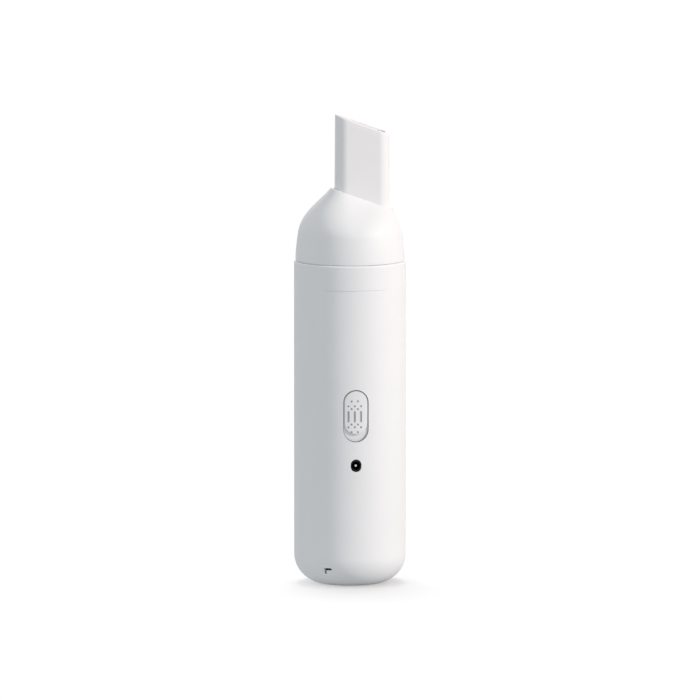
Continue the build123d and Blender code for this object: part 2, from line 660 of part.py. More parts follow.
def board_screws():
    """Four screws from the board into the cradle's bosses."""
    tip = BOARD_FRONT_Y + BOARD_SCREW_LENGTH
    head_top = BOARD_FRONT_Y - SCREW_HEAD_HEIGHT
    return [front_rod(SCREW_RADIUS, x, z, BOARD_FRONT_Y, tip)
            + front_rod(BOARD_SCREW_HEAD / 2, x, z, head_top, BOARD_FRONT_Y)
            for x, z in BOARD_SCREW_SPOTS]


def board_parts():
    """Charging chip, coil and capacitors on the board's front."""
    return [upright_block(x, JACK_Z + rise, width, height, BOARD_FRONT_Y - depth, BOARD_FRONT_Y)
            for x, rise, width, height, depth in BOARD_PARTS]


def switch_housing():
    """Body of the slide switch on the board, with a slot for its lever."""
    body = upright_block(0, SWITCH_Z, SWITCH_BODY_WIDTH, SWITCH_BODY_HEIGHT,
                         SWITCH_BODY_FRONT_Y, BOARD_FRONT_Y)
    slot_width = LEVER_WIDTH + 2 * FREE
    slot_height = LEVER_HEIGHT + SLIDER_TRAVEL + 2 * FREE
    return body - upright_block(0, SWITCH_Z, slot_width, slot_height,
                                SWITCH_BODY_FRONT_Y, LEVER_BACK_Y + RUN)


def switch_lever():
    """Nib of the switch, carried by the slider's fork."""
    return upright_block(0, SLIDER_Z, LEVER_WIDTH, LEVER_HEIGHT, RETAINER_BACK_Y, LEVER_BACK_Y)


def grip_marks():
    """Dimples of the slider's face: rows of dots above and below three upright bars."""
    bottom = SLIDER_SET_BACK + GRIP_DEPTH - BODY_RADIUS
    middle = SLIDER_Z - GRIP_DROP
    bar = upright_slot(2 * GRIP_RADIUS, GRIP_BAR_HEIGHT)
    marks = [front_prism(bar, GRIP_SHIFT + column * GRIP_PITCH, middle, -OUTSIDE, bottom)
             for column in (-1, 0, 1)]
    for distance, dots in GRIP_ROWS:
        for k in range(dots):
            x = GRIP_SHIFT + (k - (dots - 1) / 2) * GRIP_PITCH
            for z in (middle - distance, middle + distance):
                marks.append(front_rod(GRIP_RADIUS, x, z, -OUTSIDE, bottom))
    return marks


def power_slider():
    """Thumb slider: a curved pad with grip dimples and a stem through the sleeve."""
    outline = upright_slot(SLIDER_WIDTH, SLIDER_HEIGHT)
    pad = front_prism(outline, 0, SLIDER_Z, -OUTSIDE, SLIDER_BACK_Y)
    pad &= rod(BODY_RADIUS - SLIDER_SET_BACK, 0, BODY_HEIGHT)
    pad = cut(pad, grip_marks())
    return pad + upright_block(0, SLIDER_Z, STEM_WIDTH, STEM_HEIGHT,
                               SLIDER_BACK_Y, RETAINER_BACK_Y)


def slider_retainer():
    """Clip behind the wall that keeps the slider in, with a fork for the switch lever."""
    clip = upright_block(0, SLIDER_Z, RETAINER_WIDTH, STEM_HEIGHT + 2 * RETAINER_MARGIN,
                         RETAINER_FRONT_Y, RETAINER_BACK_Y)
    clip -= upright_block(0, SLIDER_Z, STEM_WIDTH, STEM_HEIGHT, RETAINER_FRONT_Y, RETAINER_BACK_Y)
    clip += upright_block(0, SLIDER_Z, STEM_WIDTH + 2 * FORK_SIDE, STEM_HEIGHT + 2 * FORK_MARGIN,
                          RETAINER_BACK_Y, FORK_BACK_Y)
    return clip - upright_block(0, SLIDER_Z, STEM_WIDTH, LEVER_HEIGHT,
                                RETAINER_BACK_Y, FORK_BACK_Y)


def jack_body():
    """Plastic body of the charging socket, with its upright nose in the sleeve."""
    half = JACK_BODY / 2
    front = SEAT - sqrt(BORE_RADIUS ** 2 - half ** 2)
    body = upright_block(0, JACK_Z, JACK_BODY, JACK_BODY, front, BOARD_FRONT_Y)
    nose = upright_slot(JACK_NOSE_WIDTH, JACK_NOSE_HEIGHT)
    body += front_prism(nose, 0, JACK_Z, JACK_FRONT_Y, BOARD_FRONT_Y)
    return body - front_rod(JACK_BORE / 2, 0, JACK_Z, JACK_FRONT_Y, JACK_BORE_END_Y)


def jack_pin():
    """Centre contact of the charging socket, with a round tip."""
    tip_y = JACK_FRONT_Y + JACK_PIN_SET_BACK
    pin = front_rod(JACK_PIN / 2, 0, JACK_Z, tip_y, JACK_BORE_END_Y)
    return fillet(pin.edges().group_by(Axis.Y)[0], 0.9 * JACK_PIN / 2)


# ------------------------------------------------------------------ motor

def motor_frame():
    """Plate over the battery with four posts that carry the deck."""
    frame = rod(INSERT_RADIUS, PLATE_BOTTOM, PLATE_TOP)
    frame = added(frame, at_posts(rod(SCREW_BOSS_RADIUS, PLATE_TOP, DECK_BOTTOM)))
    thread = rod(SCREW_RADIUS, DECK_BOTTOM - TOWER_SCREW_GRIP, DECK_BOTTOM)
    frame = cut(frame, at_posts(thread))
    frame -= rod(PLATE_HOLE / 2, PLATE_BOTTOM, PLATE_TOP)
    notch = BOSS_WIDTH / 2 + FREE
    frame -= block(-notch, notch, -BODY_RADIUS, FORK_BACK_Y + FREE, PLATE_BOTTOM, PLATE_TOP)
    return cut(frame, at_xs(CRADLE_SCREW_XS, rod(SCREW_RADIUS, PLATE_BOTTOM, PLATE_TOP), CELL_Y))


def motor_deck():
    """Deck over the motor, with air slots, and the tube that holds the motor."""
    deck = rod(INSERT_RADIUS, DECK_BOTTOM, DECK_TOP)
    deck += ring(MOUNT_RADIUS, MOUNT_BORE, MOUNT_BOTTOM, DECK_BOTTOM)
    deck -= rod(NECK_RADIUS + SEAT, DECK_BOTTOM, DECK_TOP)
    deck = cut(deck, at_posts(rod(SCREW_RADIUS, DECK_BOTTOM, DECK_TOP)))
    deck = cut(deck, at_xs(MOTOR_SCREW_XS, rod(SCREW_RADIUS, DECK_BOTTOM, DECK_TOP)))
    head_seat = rod(SCREW_HEAD_RADIUS, DECK_TOP - SCREW_HEAD_HEIGHT, DECK_TOP)
    deck = cut(deck, at_xs(MOTOR_SCREW_XS, head_seat))
    outer = INSERT_RADIUS - SHROUD_WALL - FREE
    slots = [sector(outer, MOUNT_RADIUS + AIR_SLOT_GAP, DECK_BOTTOM, DECK_TOP, middle, span)
             for middle, span in AIR_SLOTS]
    return cut(deck, slots)


def motor_screws():
    """Two screws that hold the motor up against the deck."""
    bearing = DECK_TOP - SCREW_HEAD_HEIGHT
    return at_xs(MOTOR_SCREW_XS, screw(bearing, bearing - MOTOR_FACE_BOTTOM, False))


def motor_can():
    """Drawn steel can with the neck of its front bearing."""
    can = rod(MOTOR_RADIUS, MOTOR_BOTTOM, DECK_BOTTOM) + rod(NECK_RADIUS, DECK_BOTTOM, NECK_TOP)
    can -= rod(MOTOR_INNER, MOTOR_BOTTOM, MOTOR_FACE_BOTTOM)
    can -= rod(BUSH_RADIUS, MOTOR_FACE_BOTTOM, NECK_TOP)
    return cut(can, at_xs(MOTOR_SCREW_XS, rod(SCREW_RADIUS, MOTOR_FACE_BOTTOM, DECK_BOTTOM)))


def motor_damper():
    """Rubber ring between the can and the deck's tube."""
    bottom = MOTOR_BOTTOM + DAMPER_RISE
    return ring(MOUNT_BORE, MOTOR_RADIUS, bottom, bottom + DAMPER_HEIGHT)


def motor_magnets():
    """Two curved magnets inside the can."""
    return [sector(MOTOR_INNER, MAGNET_INNER, CORE_BOTTOM - MAGNET_OVERHANG,
                   CORE_TOP + MAGNET_OVERHANG, middle, MAGNET_SPAN)
            for middle in (0, 180)]


def front_bush():
    """Plain bearing in the can's neck."""
    return ring(BUSH_RADIUS, BUSH_BORE, MOTOR_FACE_BOTTOM, NECK_TOP)


def rear_bush():
    """Plain bearing in the end cap."""
    return ring(BUSH_RADIUS, BUSH_BORE, END_CAP_BOTTOM, MOTOR_BOTTOM)


def terminal(side):
    """Flat contact that stands through the end cap, beside the commutator."""
    return block(side * TERMINAL_X - TERMINAL_THICKNESS / 2,
                 side * TERMINAL_X + TERMINAL_THICKNESS / 2,
                 -TERMINAL_WIDTH / 2, TERMINAL_WIDTH / 2, TERMINAL_BOTTOM, COMMUTATOR_TOP)


def end_cap():
    """Plastic cap that closes the can and carries contacts and rear bearing."""
    plug_top = MOTOR_BOTTOM + END_CAP_PLUG
    cap = rod(MOTOR_RADIUS, END_CAP_BOTTOM, MOTOR_BOTTOM)
    cap += ring(MOTOR_INNER, COMMUTATOR_RADIUS + FREE, MOTOR_BOTTOM, plug_top)
    cap -= rod(BUSH_RADIUS, END_CAP_BOTTOM, MOTOR_BOTTOM)
    return cut(cap, [terminal(-1), terminal(1)])


def motor_terminals():
    """The motor's two contacts."""
    return [terminal(-1), terminal(1)]


def motor_brushes():
    """Two carbon blocks between the contacts and the commutator."""
    outer = TERMINAL_X - TERMINAL_THICKNESS / 2
    z0 = COMMUTATOR_BOTTOM + BRUSH_MARGIN
    z1 = COMMUTATOR_TOP - BRUSH_MARGIN
    bar = block(-outer, outer, -BRUSH_WIDTH / 2, BRUSH_WIDTH / 2, z0, z1)
    return (bar - rod(COMMUTATOR_RADIUS + RUN, z0, z1)).solids()


def motor_leads():
    """Two wires from the board to the motor's contacts."""
    return [lead([(x, 0, TERMINAL_BOTTOM), (x, 0, MOTOR_LEAD_Z), (x, BOARD_BACK_Y, MOTOR_LEAD_Z)],
                 MOTOR_LEAD_BEND)
            for x in (-TERMINAL_X, TERMINAL_X)]


# ------------------------------------------------------------------ rotor

def rotor_shaft():
    """Steel shaft from the rear bearing to the impeller."""
    shaft = rod(SHAFT_RADIUS, END_CAP_BOTTOM + RUN, SHAFT_TOP)
    return chamfer(shaft.edges().group_by(Axis.Z)[-1], SHAFT_RADIUS / 5)


def rotor_core():
    """Stack of plates with its poles."""
    core = ring(CORE_RADIUS, SHAFT_RADIUS, CORE_BOTTOM, CORE_TOP)
    coil_space = block(CORE_HUB_RADIUS, CORE_RADIUS - POLE_TIP, -COIL_SPACE / 2, COIL_SPACE / 2,
                       CORE_BOTTOM, CORE_TOP)
    gap = block(CORE_HUB_RADIUS, MAGNET_INNER, -POLE_GAP / 2, POLE_GAP / 2, CORE_BOTTOM, CORE_TOP)
    slots = [Rot(0, 0, 360 * k / POLE_COUNT) * (coil_space + gap) for k in range(POLE_COUNT)]
    return cut(core, slots)


def rotor_windings():
    """Ends of the copper coils above and under the plates."""
    outer = CORE_RADIUS - WINDING_INSET
    lower = ring(outer, SHAFT_RADIUS + FREE, CORE_BOTTOM - WINDING_HEIGHT, CORE_BOTTOM)
    upper = ring(outer, SHAFT_RADIUS + FREE, CORE_TOP, CORE_TOP + WINDING_HEIGHT)
    low_edge = lower.edges().filter_by(GeomType.CIRCLE).group_by(Axis.Z)[0].sort_by(SortBy.RADIUS)
    top_edge = upper.edges().filter_by(GeomType.CIRCLE).group_by(Axis.Z)[-1].sort_by(SortBy.RADIUS)
    return [fillet(low_edge[-1], WINDING_ROUND), fillet(top_edge[-1], WINDING_ROUND)]


def commutator():
    """Copper ring that the brushes touch."""
    return ring(COMMUTATOR_RADIUS, SHAFT_RADIUS, COMMUTATOR_BOTTOM, COMMUTATOR_TOP)


def impeller_hub():
    """Brass bush pressed on the shaft."""
    return ring(HUB_BUSH_RADIUS, SHAFT_RADIUS, IMPELLER_BOTTOM, HUB_TOP)


def impeller():
    """Suction fan: a disc, a hub and blades that lean back."""
    fan = rod(IMPELLER_RADIUS, IMPELLER_BOTTOM, IMPELLER_BOTTOM + IMPELLER_DISC)
    fan += rod(HUB_RADIUS, IMPELLER_BOTTOM, HUB_TOP)
    tip = IMPELLER_RADIUS - BLADE_SET_BACK
    end = (tip * cos(radians(BLADE_SWEEP)), -tip * sin(radians(BLADE_SWEEP)))
    root = (HUB_RADIUS - BLADE_THICKNESS, 0)
    line = trace(RadiusArc(root, end, -IMPELLER_RADIUS), BLADE_THICKNESS)
    blade = extrude(Pos(0, 0, IMPELLER_BOTTOM) * line, IMPELLER_HEIGHT)
    fan = added(fan, [Rot(0, 0, 360 * k / BLADE_COUNT) * blade for k in range(BLADE_COUNT)])
    return fan - rod(HUB_BUSH_RADIUS, IMPELLER_BOTTOM, IMPELLER_TOP)


# ------------------------------------------------------------------ fan chamber and filter

def fan_shroud():
    """Round chamber over the impeller, with an intake eye in its top."""
    top = SHROUD_TOP - SHROUD_WALL
    shroud = ring(INSERT_RADIUS, INSERT_RADIUS - SHROUD_WALL, DECK_TOP, SHROUD_TOP)
    shroud += ring(INSERT_RADIUS, EYE_DIAMETER / 2, top, SHROUD_TOP)
    shroud = added(shroud, at_posts(rod(SCREW_BOSS_RADIUS, DECK_TOP, SHROUD_TOP)))
    shroud = cut(shroud, at_posts(rod(SCREW_RADIUS, DECK_TOP, SHROUD_TOP)))
    head_seat = rod(SCREW_HEAD_RADIUS, SHROUD_TOP - SCREW_HEAD_HEIGHT, SHROUD_TOP)
    return cut(shroud, at_posts(head_seat))


def tower_screws():
    """Four long screws through chamber and deck into the frame's posts."""
    bearing = SHROUD_TOP - SCREW_HEAD_HEIGHT
    return at_posts(screw(bearing, bearing - DECK_BOTTOM + TOWER_SCREW_GRIP, False))


def filter_seal():
    """Soft ring under the filter."""
    return ring(FILTER_INNER, FILTER_INNER - SEAL_WIDTH, SHROUD_TOP, SEAL_TOP)


def filter_frame():
    """Round frame of the filter, with a cross under the pleats."""
    frame = ring(FILTER_RADIUS, FILTER_INNER, SEAL_TOP, FILTER_TOP)
    rib = Box(2 * FILTER_INNER + FILTER_WALL, FILTER_RIB, FILTER_RIB, align=STANDING)
    cross = rib + Rot(0, 0, 90) * rib
    return frame + Pos(0, 0, SEAL_TOP) * cross


def filter_pleats():
    """Folded paper that fills the frame."""
    low = RIB_TOP + PLEAT_THICKNESS
    high = MESH_BOTTOM - PLEAT_THICKNESS
    folds = 2 * int(FILTER_INNER / PLEAT_PITCH) + 2
    corners = [(k * PLEAT_PITCH / 2, high if k % 2 else low) for k in range(-folds, folds + 1)]
    fold = trace(Polyline(*corners), PLEAT_THICKNESS)
    sheet = extrude(Plane.XZ * fold, FILTER_RADIUS, both=True)
    return sheet & rod(FILTER_INNER, RIB_TOP, MESH_BOTTOM)


def filter_mesh():
    """Fine steel screen over the pleats."""
    return rod(FILTER_INNER, MESH_BOTTOM, FILTER_TOP)


# ------------------------------------------------------------------ dust cup and nozzle

def rounded_outline(x0, x1, half_depth, corner, z0, z1):
    """Closed outline about the X axis, a rounded rectangle from x0 to x1. Its height runs
    from z0 at x0 to z1 at x1. Its points are spaced evenly along each quarter."""
    centre = (x0 + x1) / 2
    half_width = (x1 - x0) / 2
    flat_x = half_width - corner
    flat_y = half_depth - corner
    arc = corner * pi / 2
    quarter = flat_x + flat_y + arc
    points = []
    for k in range(4 * OUTLINE_STEPS):
        side, place = divmod(k, OUTLINE_STEPS)
        share = place / OUTLINE_STEPS
        along = quarter * (1 - share if side % 2 else share)
        if along < flat_y:
            x, y = half_width, along
        elif along < flat_y + arc:
            turn = (along - flat_y) / corner
            x, y = flat_x + corner * cos(turn), flat_y + corner * sin(turn)
        else:
            x, y = quarter - along, half_depth
        x = centre + (x if side in (0, 3) else -x)
        y = y if side < 2 else -y
        points.append((x, y, z0 + (z1 - z0) * (x - x0) / (x1 - x0)))
    return make_face(Spline(*points, periodic=True))


def cup_side(inset):
    """Side of the cup between seam and shoulder, as a solid, inset all round."""
    base = CUP_RADIUS - inset
    shoulder = SHOULDER_RADIUS - inset
    middle = ((base + shoulder) / 2 + SHOULDER_BULGE, (BODY_HEIGHT + SHOULDER_Z) / 2)
    side = ThreePointArc((base, BODY_HEIGHT), middle, (shoulder, SHOULDER_Z))
    ends = Polyline((shoulder, SHOULDER_Z), (0, SHOULDER_Z), (0, BODY_HEIGHT), (base, BODY_HEIGHT))
    return revolve(Plane.XZ * make_face(side + ends), Axis.Z)


def dome(inset):
    """Solid cup from the seam to the slanted rim, inset all round and under the rim."""
    rim_rise = RIM_HALF_WIDTH * tan(radians(RIM_TILT))
    shoulder = SHOULDER_RADIUS - inset
    rim_left = NOZZLE_OFFSET - RIM_HALF_WIDTH + inset
    rim_right = NOZZLE_OFFSET + RIM_HALF_WIDTH - inset
    rim_depth = RIM_HALF_DEPTH - inset
    rise_left = SOCKET_RIM_Z + rim_rise - inset - SHOULDER_Z
    rise_right = SOCKET_RIM_Z - rim_rise - inset - SHOULDER_Z
    corner_share = (RIM_CORNER - inset) / rim_depth
    sections = [Pos(0, 0, SHOULDER_Z) * make_face(Circle(shoulder).edge())]
    for rise, left, right, depth in DOME_LEVELS:
        half_depth = shoulder + (rim_depth - shoulder) * depth
        sections.append(rounded_outline(
            -shoulder + (rim_left + shoulder) * left,
            shoulder + (rim_right - shoulder) * right,
            half_depth,
            half_depth * (1 + (corner_share - 1) * rise),
            SHOULDER_Z + rise_left * rise,
            SHOULDER_Z + rise_right * rise))
    return cup_side(inset) + loft(sections)


def dust_cup():
    """Lift-off cup: dome, spigot for the sleeve and slanted socket for the nozzle."""
    shell = dome(0) - dome(CUP_WALL)
    collar_radius = CUP_RADIUS - CUP_WALL / 2
    shell += ring(collar_radius, SPIGOT_INNER, BODY_HEIGHT, BODY_HEIGHT + COLLAR_HEIGHT)
    shell += ring(SPIGOT_RADIUS, SPIGOT_INNER, SPIGOT_BOTTOM, BODY_HEIGHT + COLLAR_HEIGHT)

    socket = flat_duct(2 * RIM_HALF_WIDTH - SEAT, 2 * RIM_HALF_DEPTH - SEAT, RIM_CORNER,
                       SOCKET_BOTTOM, NOZZLE_TIP_Z)
    shell += socket - above_slant(SOCKET_RIM_Z, RIM_TILT)
    shell -= flat_duct(SHANK_WIDTH + 2 * RUN, SHANK_DEPTH + 2 * RUN, SHANK_CORNER + RUN,
                       SHANK_BOTTOM, NOZZLE_TIP_Z)
    shell -= flat_duct(DUCT_WIDTH, DUCT_DEPTH, DUCT_CORNER, SOCKET_BOTTOM, SHANK_BOTTOM)

    edge = Rectangle(SEAM_ROUND, SEAM_ROUND, rotation=45)
    shell -= revolve(Plane.XZ * Pos(CUP_RADIUS, BODY_HEIGHT) * edge, Axis.Z)
    groove = ring(BORE_RADIUS, SPIGOT_RADIUS - SEAL_RING_DEPTH, SEAL_RING_BOTTOM, SEAL_RING_TOP)
    return shell - groove


def cup_seal():
    """Rubber ring round the spigot."""
    return ring(BORE_RADIUS - FREE, SPIGOT_RADIUS - SEAL_RING_DEPTH,
                SEAL_RING_BOTTOM, SEAL_RING_TOP)


def nozzle():
    """Flat crevice nozzle with a slanted mouth."""
    length = NOZZLE_LENGTH + NOZZLE_WIDTH * tan(radians(MOUTH_TILT))
    outline = RectangleRounded(SHANK_WIDTH, SHANK_DEPTH, SHANK_CORNER)
    duct = extrude(Pos(NOZZLE_OFFSET, 0, SHANK_BOTTOM) * outline, length, taper=NOZZLE_DRAFT)
    duct -= flat_duct(DUCT_WIDTH, DUCT_DEPTH, DUCT_CORNER, SHANK_BOTTOM, SHANK_BOTTOM + length)
    duct -= above_slant(NOZZLE_TIP_Z, MOUTH_TILT)
    tilt = radians(MOUTH_TILT)
    mouth_way = Axis((0, 0, 0), (sin(tilt), 0, cos(tilt)))
    return fillet(duct.faces().sort_by(mouth_way)[-1].edges(), LIP_ROUND)


# ------------------------------------------------------------------ writing the pieces

PIECES = (
    sleeve, foot_pad, base_screws, exhaust_foam,
    battery_cradle, cradle_screws, battery_pad, battery_cell, battery_tabs, battery_leads,
    control_board, board_screws, board_parts, switch_housing, jack_body, jack_pin,
    power_slider, slider_retainer, switch_lever,
    motor_frame, motor_deck, motor_screws, motor_can, motor_damper, motor_magnets,
    front_bush, rear_bush, end_cap, motor_terminals, motor_brushes, motor_leads,
    rotor_shaft, rotor_core, rotor_windings, commutator, impeller_hub, impeller,
    fan_shroud, tower_screws, filter_seal,
    filter_frame, filter_pleats, filter_mesh,
    dust_cup, cup_seal, nozzle,
)

os.makedirs("parts", exist_ok=True)
for make in PIECES:
    made = make()
    solids = made if isinstance(made, list) else [made]
    shape = solids[0] if len(solids) == 1 else Compound(solids)
    export_step(shape, f"parts/{make.__name__}.step")
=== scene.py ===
# %% [markdown]
# # A mini vacuum cleaner for the desk
#
# This notebook dresses a small upright vacuum cleaner. Its working pieces come from a
# CAD model at their real size, and they are loaded first and never moved. Each outer
# piece that a hand or an eye meets is then made again as a finer mesh, with the soft
# edges that a mould leaves, and every piece gets a finish made of nodes.

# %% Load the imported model
from math import asin, cos, degrees, hypot, pi, radians, sin, sqrt, tan

import bmesh
import bpy
from mathutils import Matrix, Vector


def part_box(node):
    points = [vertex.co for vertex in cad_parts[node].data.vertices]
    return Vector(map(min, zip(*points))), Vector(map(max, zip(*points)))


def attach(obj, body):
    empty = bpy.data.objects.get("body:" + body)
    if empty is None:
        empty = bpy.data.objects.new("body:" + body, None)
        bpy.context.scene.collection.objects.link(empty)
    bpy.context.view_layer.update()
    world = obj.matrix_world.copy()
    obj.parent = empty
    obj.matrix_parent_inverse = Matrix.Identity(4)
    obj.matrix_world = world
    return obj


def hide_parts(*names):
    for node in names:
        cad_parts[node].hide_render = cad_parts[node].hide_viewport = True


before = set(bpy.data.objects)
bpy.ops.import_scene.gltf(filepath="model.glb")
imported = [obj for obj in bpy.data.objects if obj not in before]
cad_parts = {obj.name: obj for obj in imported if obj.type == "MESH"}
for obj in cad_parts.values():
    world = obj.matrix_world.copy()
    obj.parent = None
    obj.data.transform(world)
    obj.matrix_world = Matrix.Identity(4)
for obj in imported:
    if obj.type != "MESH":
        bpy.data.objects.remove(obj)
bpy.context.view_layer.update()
print("CAD pieces:", len(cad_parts))

# %% [markdown]
# ## Sizes
#
# Blender counts in metres, and a maker of small plastic goods thinks in millimetres.
# So every size here is in millimetres, and one factor turns a finished mesh into metres.
# What the CAD model knows is measured on its pieces, so that nothing can drift apart.

# %% Sizes measured on the CAD pieces
MM = 0.001


def corners(node):
    """Lowest and highest corner of a CAD piece, in millimetres."""
    low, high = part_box(node)
    return low / MM, high / MM


sleeve_low, sleeve_high = corners("sleeve")
cup_low, cup_high = corners("dust_cup")
nozzle_low, nozzle_high = corners("nozzle")
slider_low, slider_high = corners("power_slider")
housing_low, housing_high = corners("switch_housing")
jack_low, jack_high = corners("jack_body")
pin_low, pin_high = corners("jack_pin")
foot_low, foot_high = corners("foot_pad")
seal_low, seal_high = corners("cup_seal")
mesh_low, mesh_high = corners("filter_mesh")
foam_low, foam_high = corners("exhaust_foam")

BODY_RADIUS = (sleeve_high.x - sleeve_low.x) / 2
BASE_Z = sleeve_low.z
SEAM_Z = sleeve_high.z
SWITCH_Z = (housing_low.z + housing_high.z) / 2
SLIDER_Z = (slider_low.z + slider_high.z) / 2
JACK_Z = (jack_low.z + jack_high.z) / 2
NOZZLE_X = (nozzle_low.x + nozzle_high.x) / 2
EXHAUST_Z = (foam_low.z + foam_high.z) / 2
print("body radius", round(BODY_RADIUS, 2), "seam at", round(SEAM_Z, 2))
print("switch at", round(SWITCH_Z, 2), "socket at", round(JACK_Z, 2), "nozzle at", round(NOZZLE_X, 2))

# %% [markdown]
# ### Walls, recesses and roundings
#
# A piece's corners don't tell how thick its wall is or how soft its edges are. These sizes
# are the CAD model's own, written out by name. Most are a toolmaker's choices: walls that
# fill well in the mould, and lips that are small enough to look crisp.

# %% Sizes of the walls, recesses and roundings
BODY_WALL = 2.0
THROUGH_WALL = 2 * BODY_WALL - BODY_RADIUS
BASE_ROUND = 13.4
SEAM_ROUND = 0.8
SEAM_INNER_EDGE = 0.2
FLOOR_TOP = 3.2
FOOT_POCKET = 9.6
SCREW_SPREAD = 12.0
SCREW_HOLE = 1.1
HEAD_HOLE = 1.9
HEAD_HOLE_TOP = 2.0

RECESS_WIDTH = 10.9
RECESS_HEIGHT = 23.0
RECESS_DEPTH = 1.2
RECESS_LIP = 0.25
BOSS_WIDTH = 14.9
BOSS_HEIGHT = 27.0
BOSS_FRONT = 1.3 - BODY_RADIUS
BOSS_BACK = -22.0
STEM_SLOT_WIDTH = 4.2
STEM_SLOT_HEIGHT = 9.6

JACK_HOLE = (4.7, 5.6)
JACK_LIP = 0.25
JACK_BORE = 3.8
JACK_NOSE = (4.5, 5.4)

MARK_LINE_DROP = 11.2
MARK_LINE_SPAN = 70.0
MARK_LINE_DEPTH = 0.2
MARK_LINE_HEIGHT = 0.4
MARK_LINE_END = 0.15

EYE_ANGLE = -30.4
EYE_TOP = 9.4
EYE_WIDTH = 3.7
EYE_DROP = 2.7
EYE_SLOT = 1.0
EYE_CORNER = 0.3

SLOT_WIDTH = 1.8
SLOT_HEIGHT = 16.0
SLOT_COUNT = 9
SLOT_PITCH = 8.0
SLOT_LIP = 0.25
print("wall", BODY_WALL, "recess", RECESS_WIDTH, "by", RECESS_HEIGHT, "socket hole", JACK_HOLE)

# %% [markdown]
# ## Small helpers
#
# A mesh is a list of points and a list of faces. These helpers make one, merge its
# doubled points, turn its faces outwards and give it soft shading that still breaks
# at real edges. Smooth shading alone would smear light over every corner. In a closed
# mesh each edge joins exactly two faces, so the last helper counts the edges that don't.

# %% Make, tidy and soften a mesh
MERGE = 0.0005


def new_piece(name, points, faces):
    """Object from points in millimetres and from faces."""
    mesh = bpy.data.meshes.new(name)
    mesh.from_pydata([Vector(point) * MM for point in points], [], faces)
    piece = bpy.data.objects.new(name, mesh)
    bpy.context.scene.collection.objects.link(piece)
    return piece


def tidied(piece):
    """The piece with doubled points merged and all faces turned outwards."""
    work = bmesh.new()
    work.from_mesh(piece.data)
    bmesh.ops.remove_doubles(work, verts=work.verts, dist=MERGE * MM)
    bmesh.ops.recalc_face_normals(work, faces=work.faces)
    work.to_mesh(piece.data)
    work.free()
    return piece


def softened(piece, angle=32.0):
    """The piece with smooth shading that stops at edges sharper than the angle."""
    piece.data.shade_smooth()
    piece.data.set_sharp_from_angle(angle=radians(angle))
    return piece


def flattened(piece):
    """The piece with its modifiers worked into its mesh and taken off."""
    graph = bpy.context.evaluated_depsgraph_get()
    mesh = bpy.data.meshes.new_from_object(piece.evaluated_get(graph), depsgraph=graph)
    piece.modifiers.clear()
    piece.data = mesh
    mesh.name = piece.name
    return piece


def report(piece):
    """Print how many faces a piece has, and how many edges don't join exactly two."""
    work = bmesh.new()
    work.from_mesh(piece.data)
    loose = sum(len(edge.link_faces) != 2 for edge in work.edges)
    print(piece.name, "faces:", len(work.faces), "open edges:", loose)
    work.free()


print("points merge within", MERGE, "mm")

# %% [markdown]
# ### Cutting and joining
#
# A hole can be drawn into a mesh face by face, or it can be cut by a tool body, as a
# drill does it. Cutting is easier to read, and the same hole can be moved by one number.
# The exact solver is used, because the fast one can fail where faces nearly meet.

# %% Cut and join with tool bodies
def combined(piece, tool, operation):
    """The piece with a tool body cut out of it or joined to it. The tool is used up, and
    a tool that has a material leaves it on what it cut."""
    step = piece.modifiers.new(operation.lower(), "BOOLEAN")
    step.operation = operation
    step.solver = "EXACT"
    step.material_mode = "TRANSFER" if tool.data.materials else "INDEX"
    step.object = tool
    flattened(piece)
    bpy.data.objects.remove(tool)
    return piece


def block(name, low, high):
    """Box between two corners, used as a tool for cutting and joining."""
    points = [(x, y, z) for x in (low[0], high[0]) for y in (low[1], high[1]) for z in (low[2], high[2])]
    faces = [(0, 1, 3, 2), (4, 6, 7, 5), (0, 4, 5, 1), (2, 3, 7, 6), (0, 2, 6, 4), (1, 5, 7, 3)]
    return new_piece(name, points, faces)


print("tool bodies cut and join with the exact solver")

# %% [markdown]
# ### Skins and roundings
#
# Many moulded shapes are a stack of rings with a skin pulled over them, like the ribs and
# the cloth of a lampshade. The rings only need equally many points. A rounding is a few
# steps of a circle, either in a profile that is turned or in how far each ring moves in.

# %% Skins and roundings
def skinned(rings, closed=False):
    """Points and faces of a skin through rings of equally many points."""
    sides = len(rings[0])
    points = [point for ring in rings for point in ring]
    faces = []
    last = len(rings) if closed else len(rings) - 1
    for row in range(last):
        here = row * sides
        above = (row + 1) % len(rings) * sides
        for k in range(sides):
            after = (k + 1) % sides
            faces.append((here + k, here + after, above + after, above + k))
    return points, faces


def capped(name, rings):
    """Closed body through rings, with a flat face on the first and the last."""
    points, faces = skinned(rings)
    sides = len(rings[0])
    faces.append(tuple(range(sides)))
    faces.append(tuple(range(len(points) - sides, len(points))))
    return tidied(new_piece(name, points, faces))


def arc(middle_r, middle_z, radius, start, end, steps):
    """Points of a round stretch of a profile, between two angles in degrees."""
    angles = [radians(start + (end - start) * k / steps) for k in range(steps + 1)]
    return [(middle_r + radius * cos(a), middle_z + radius * sin(a)) for a in angles]


def quarter_round(radius, steps):
    """Pairs of distances over a quarter round. The first grows from nought to the radius
    while the second shrinks from the radius to nought."""
    angles = [pi / 2 * k / steps for k in range(steps + 1)]
    return [(radius * (1 - cos(a)), radius * (1 - sin(a))) for a in angles]


print("quarter round of 1 mm in 2 steps:", quarter_round(1.0, 2))

# %% [markdown]
# ### Helpers for node trees
#
# A node tree is a drawing of boxes and lines. By hand each box is added, set and joined to
# the ones before it. One helper does all three at once, so that a tree reads from its
# sources to its result, much like a recipe.

# %% Helpers for node trees
def fill(tree, node, inputs):
    """The node with its inputs set to fixed values or joined to other nodes. A node that
    is given as a value stands for its first output."""
    for name, value in inputs.items():
        if isinstance(value, bpy.types.Node):
            value = value.outputs[0]
        if isinstance(value, bpy.types.NodeSocket):
            tree.links.new(value, node.inputs[name])
        else:
            node.inputs[name].default_value = value
    return node


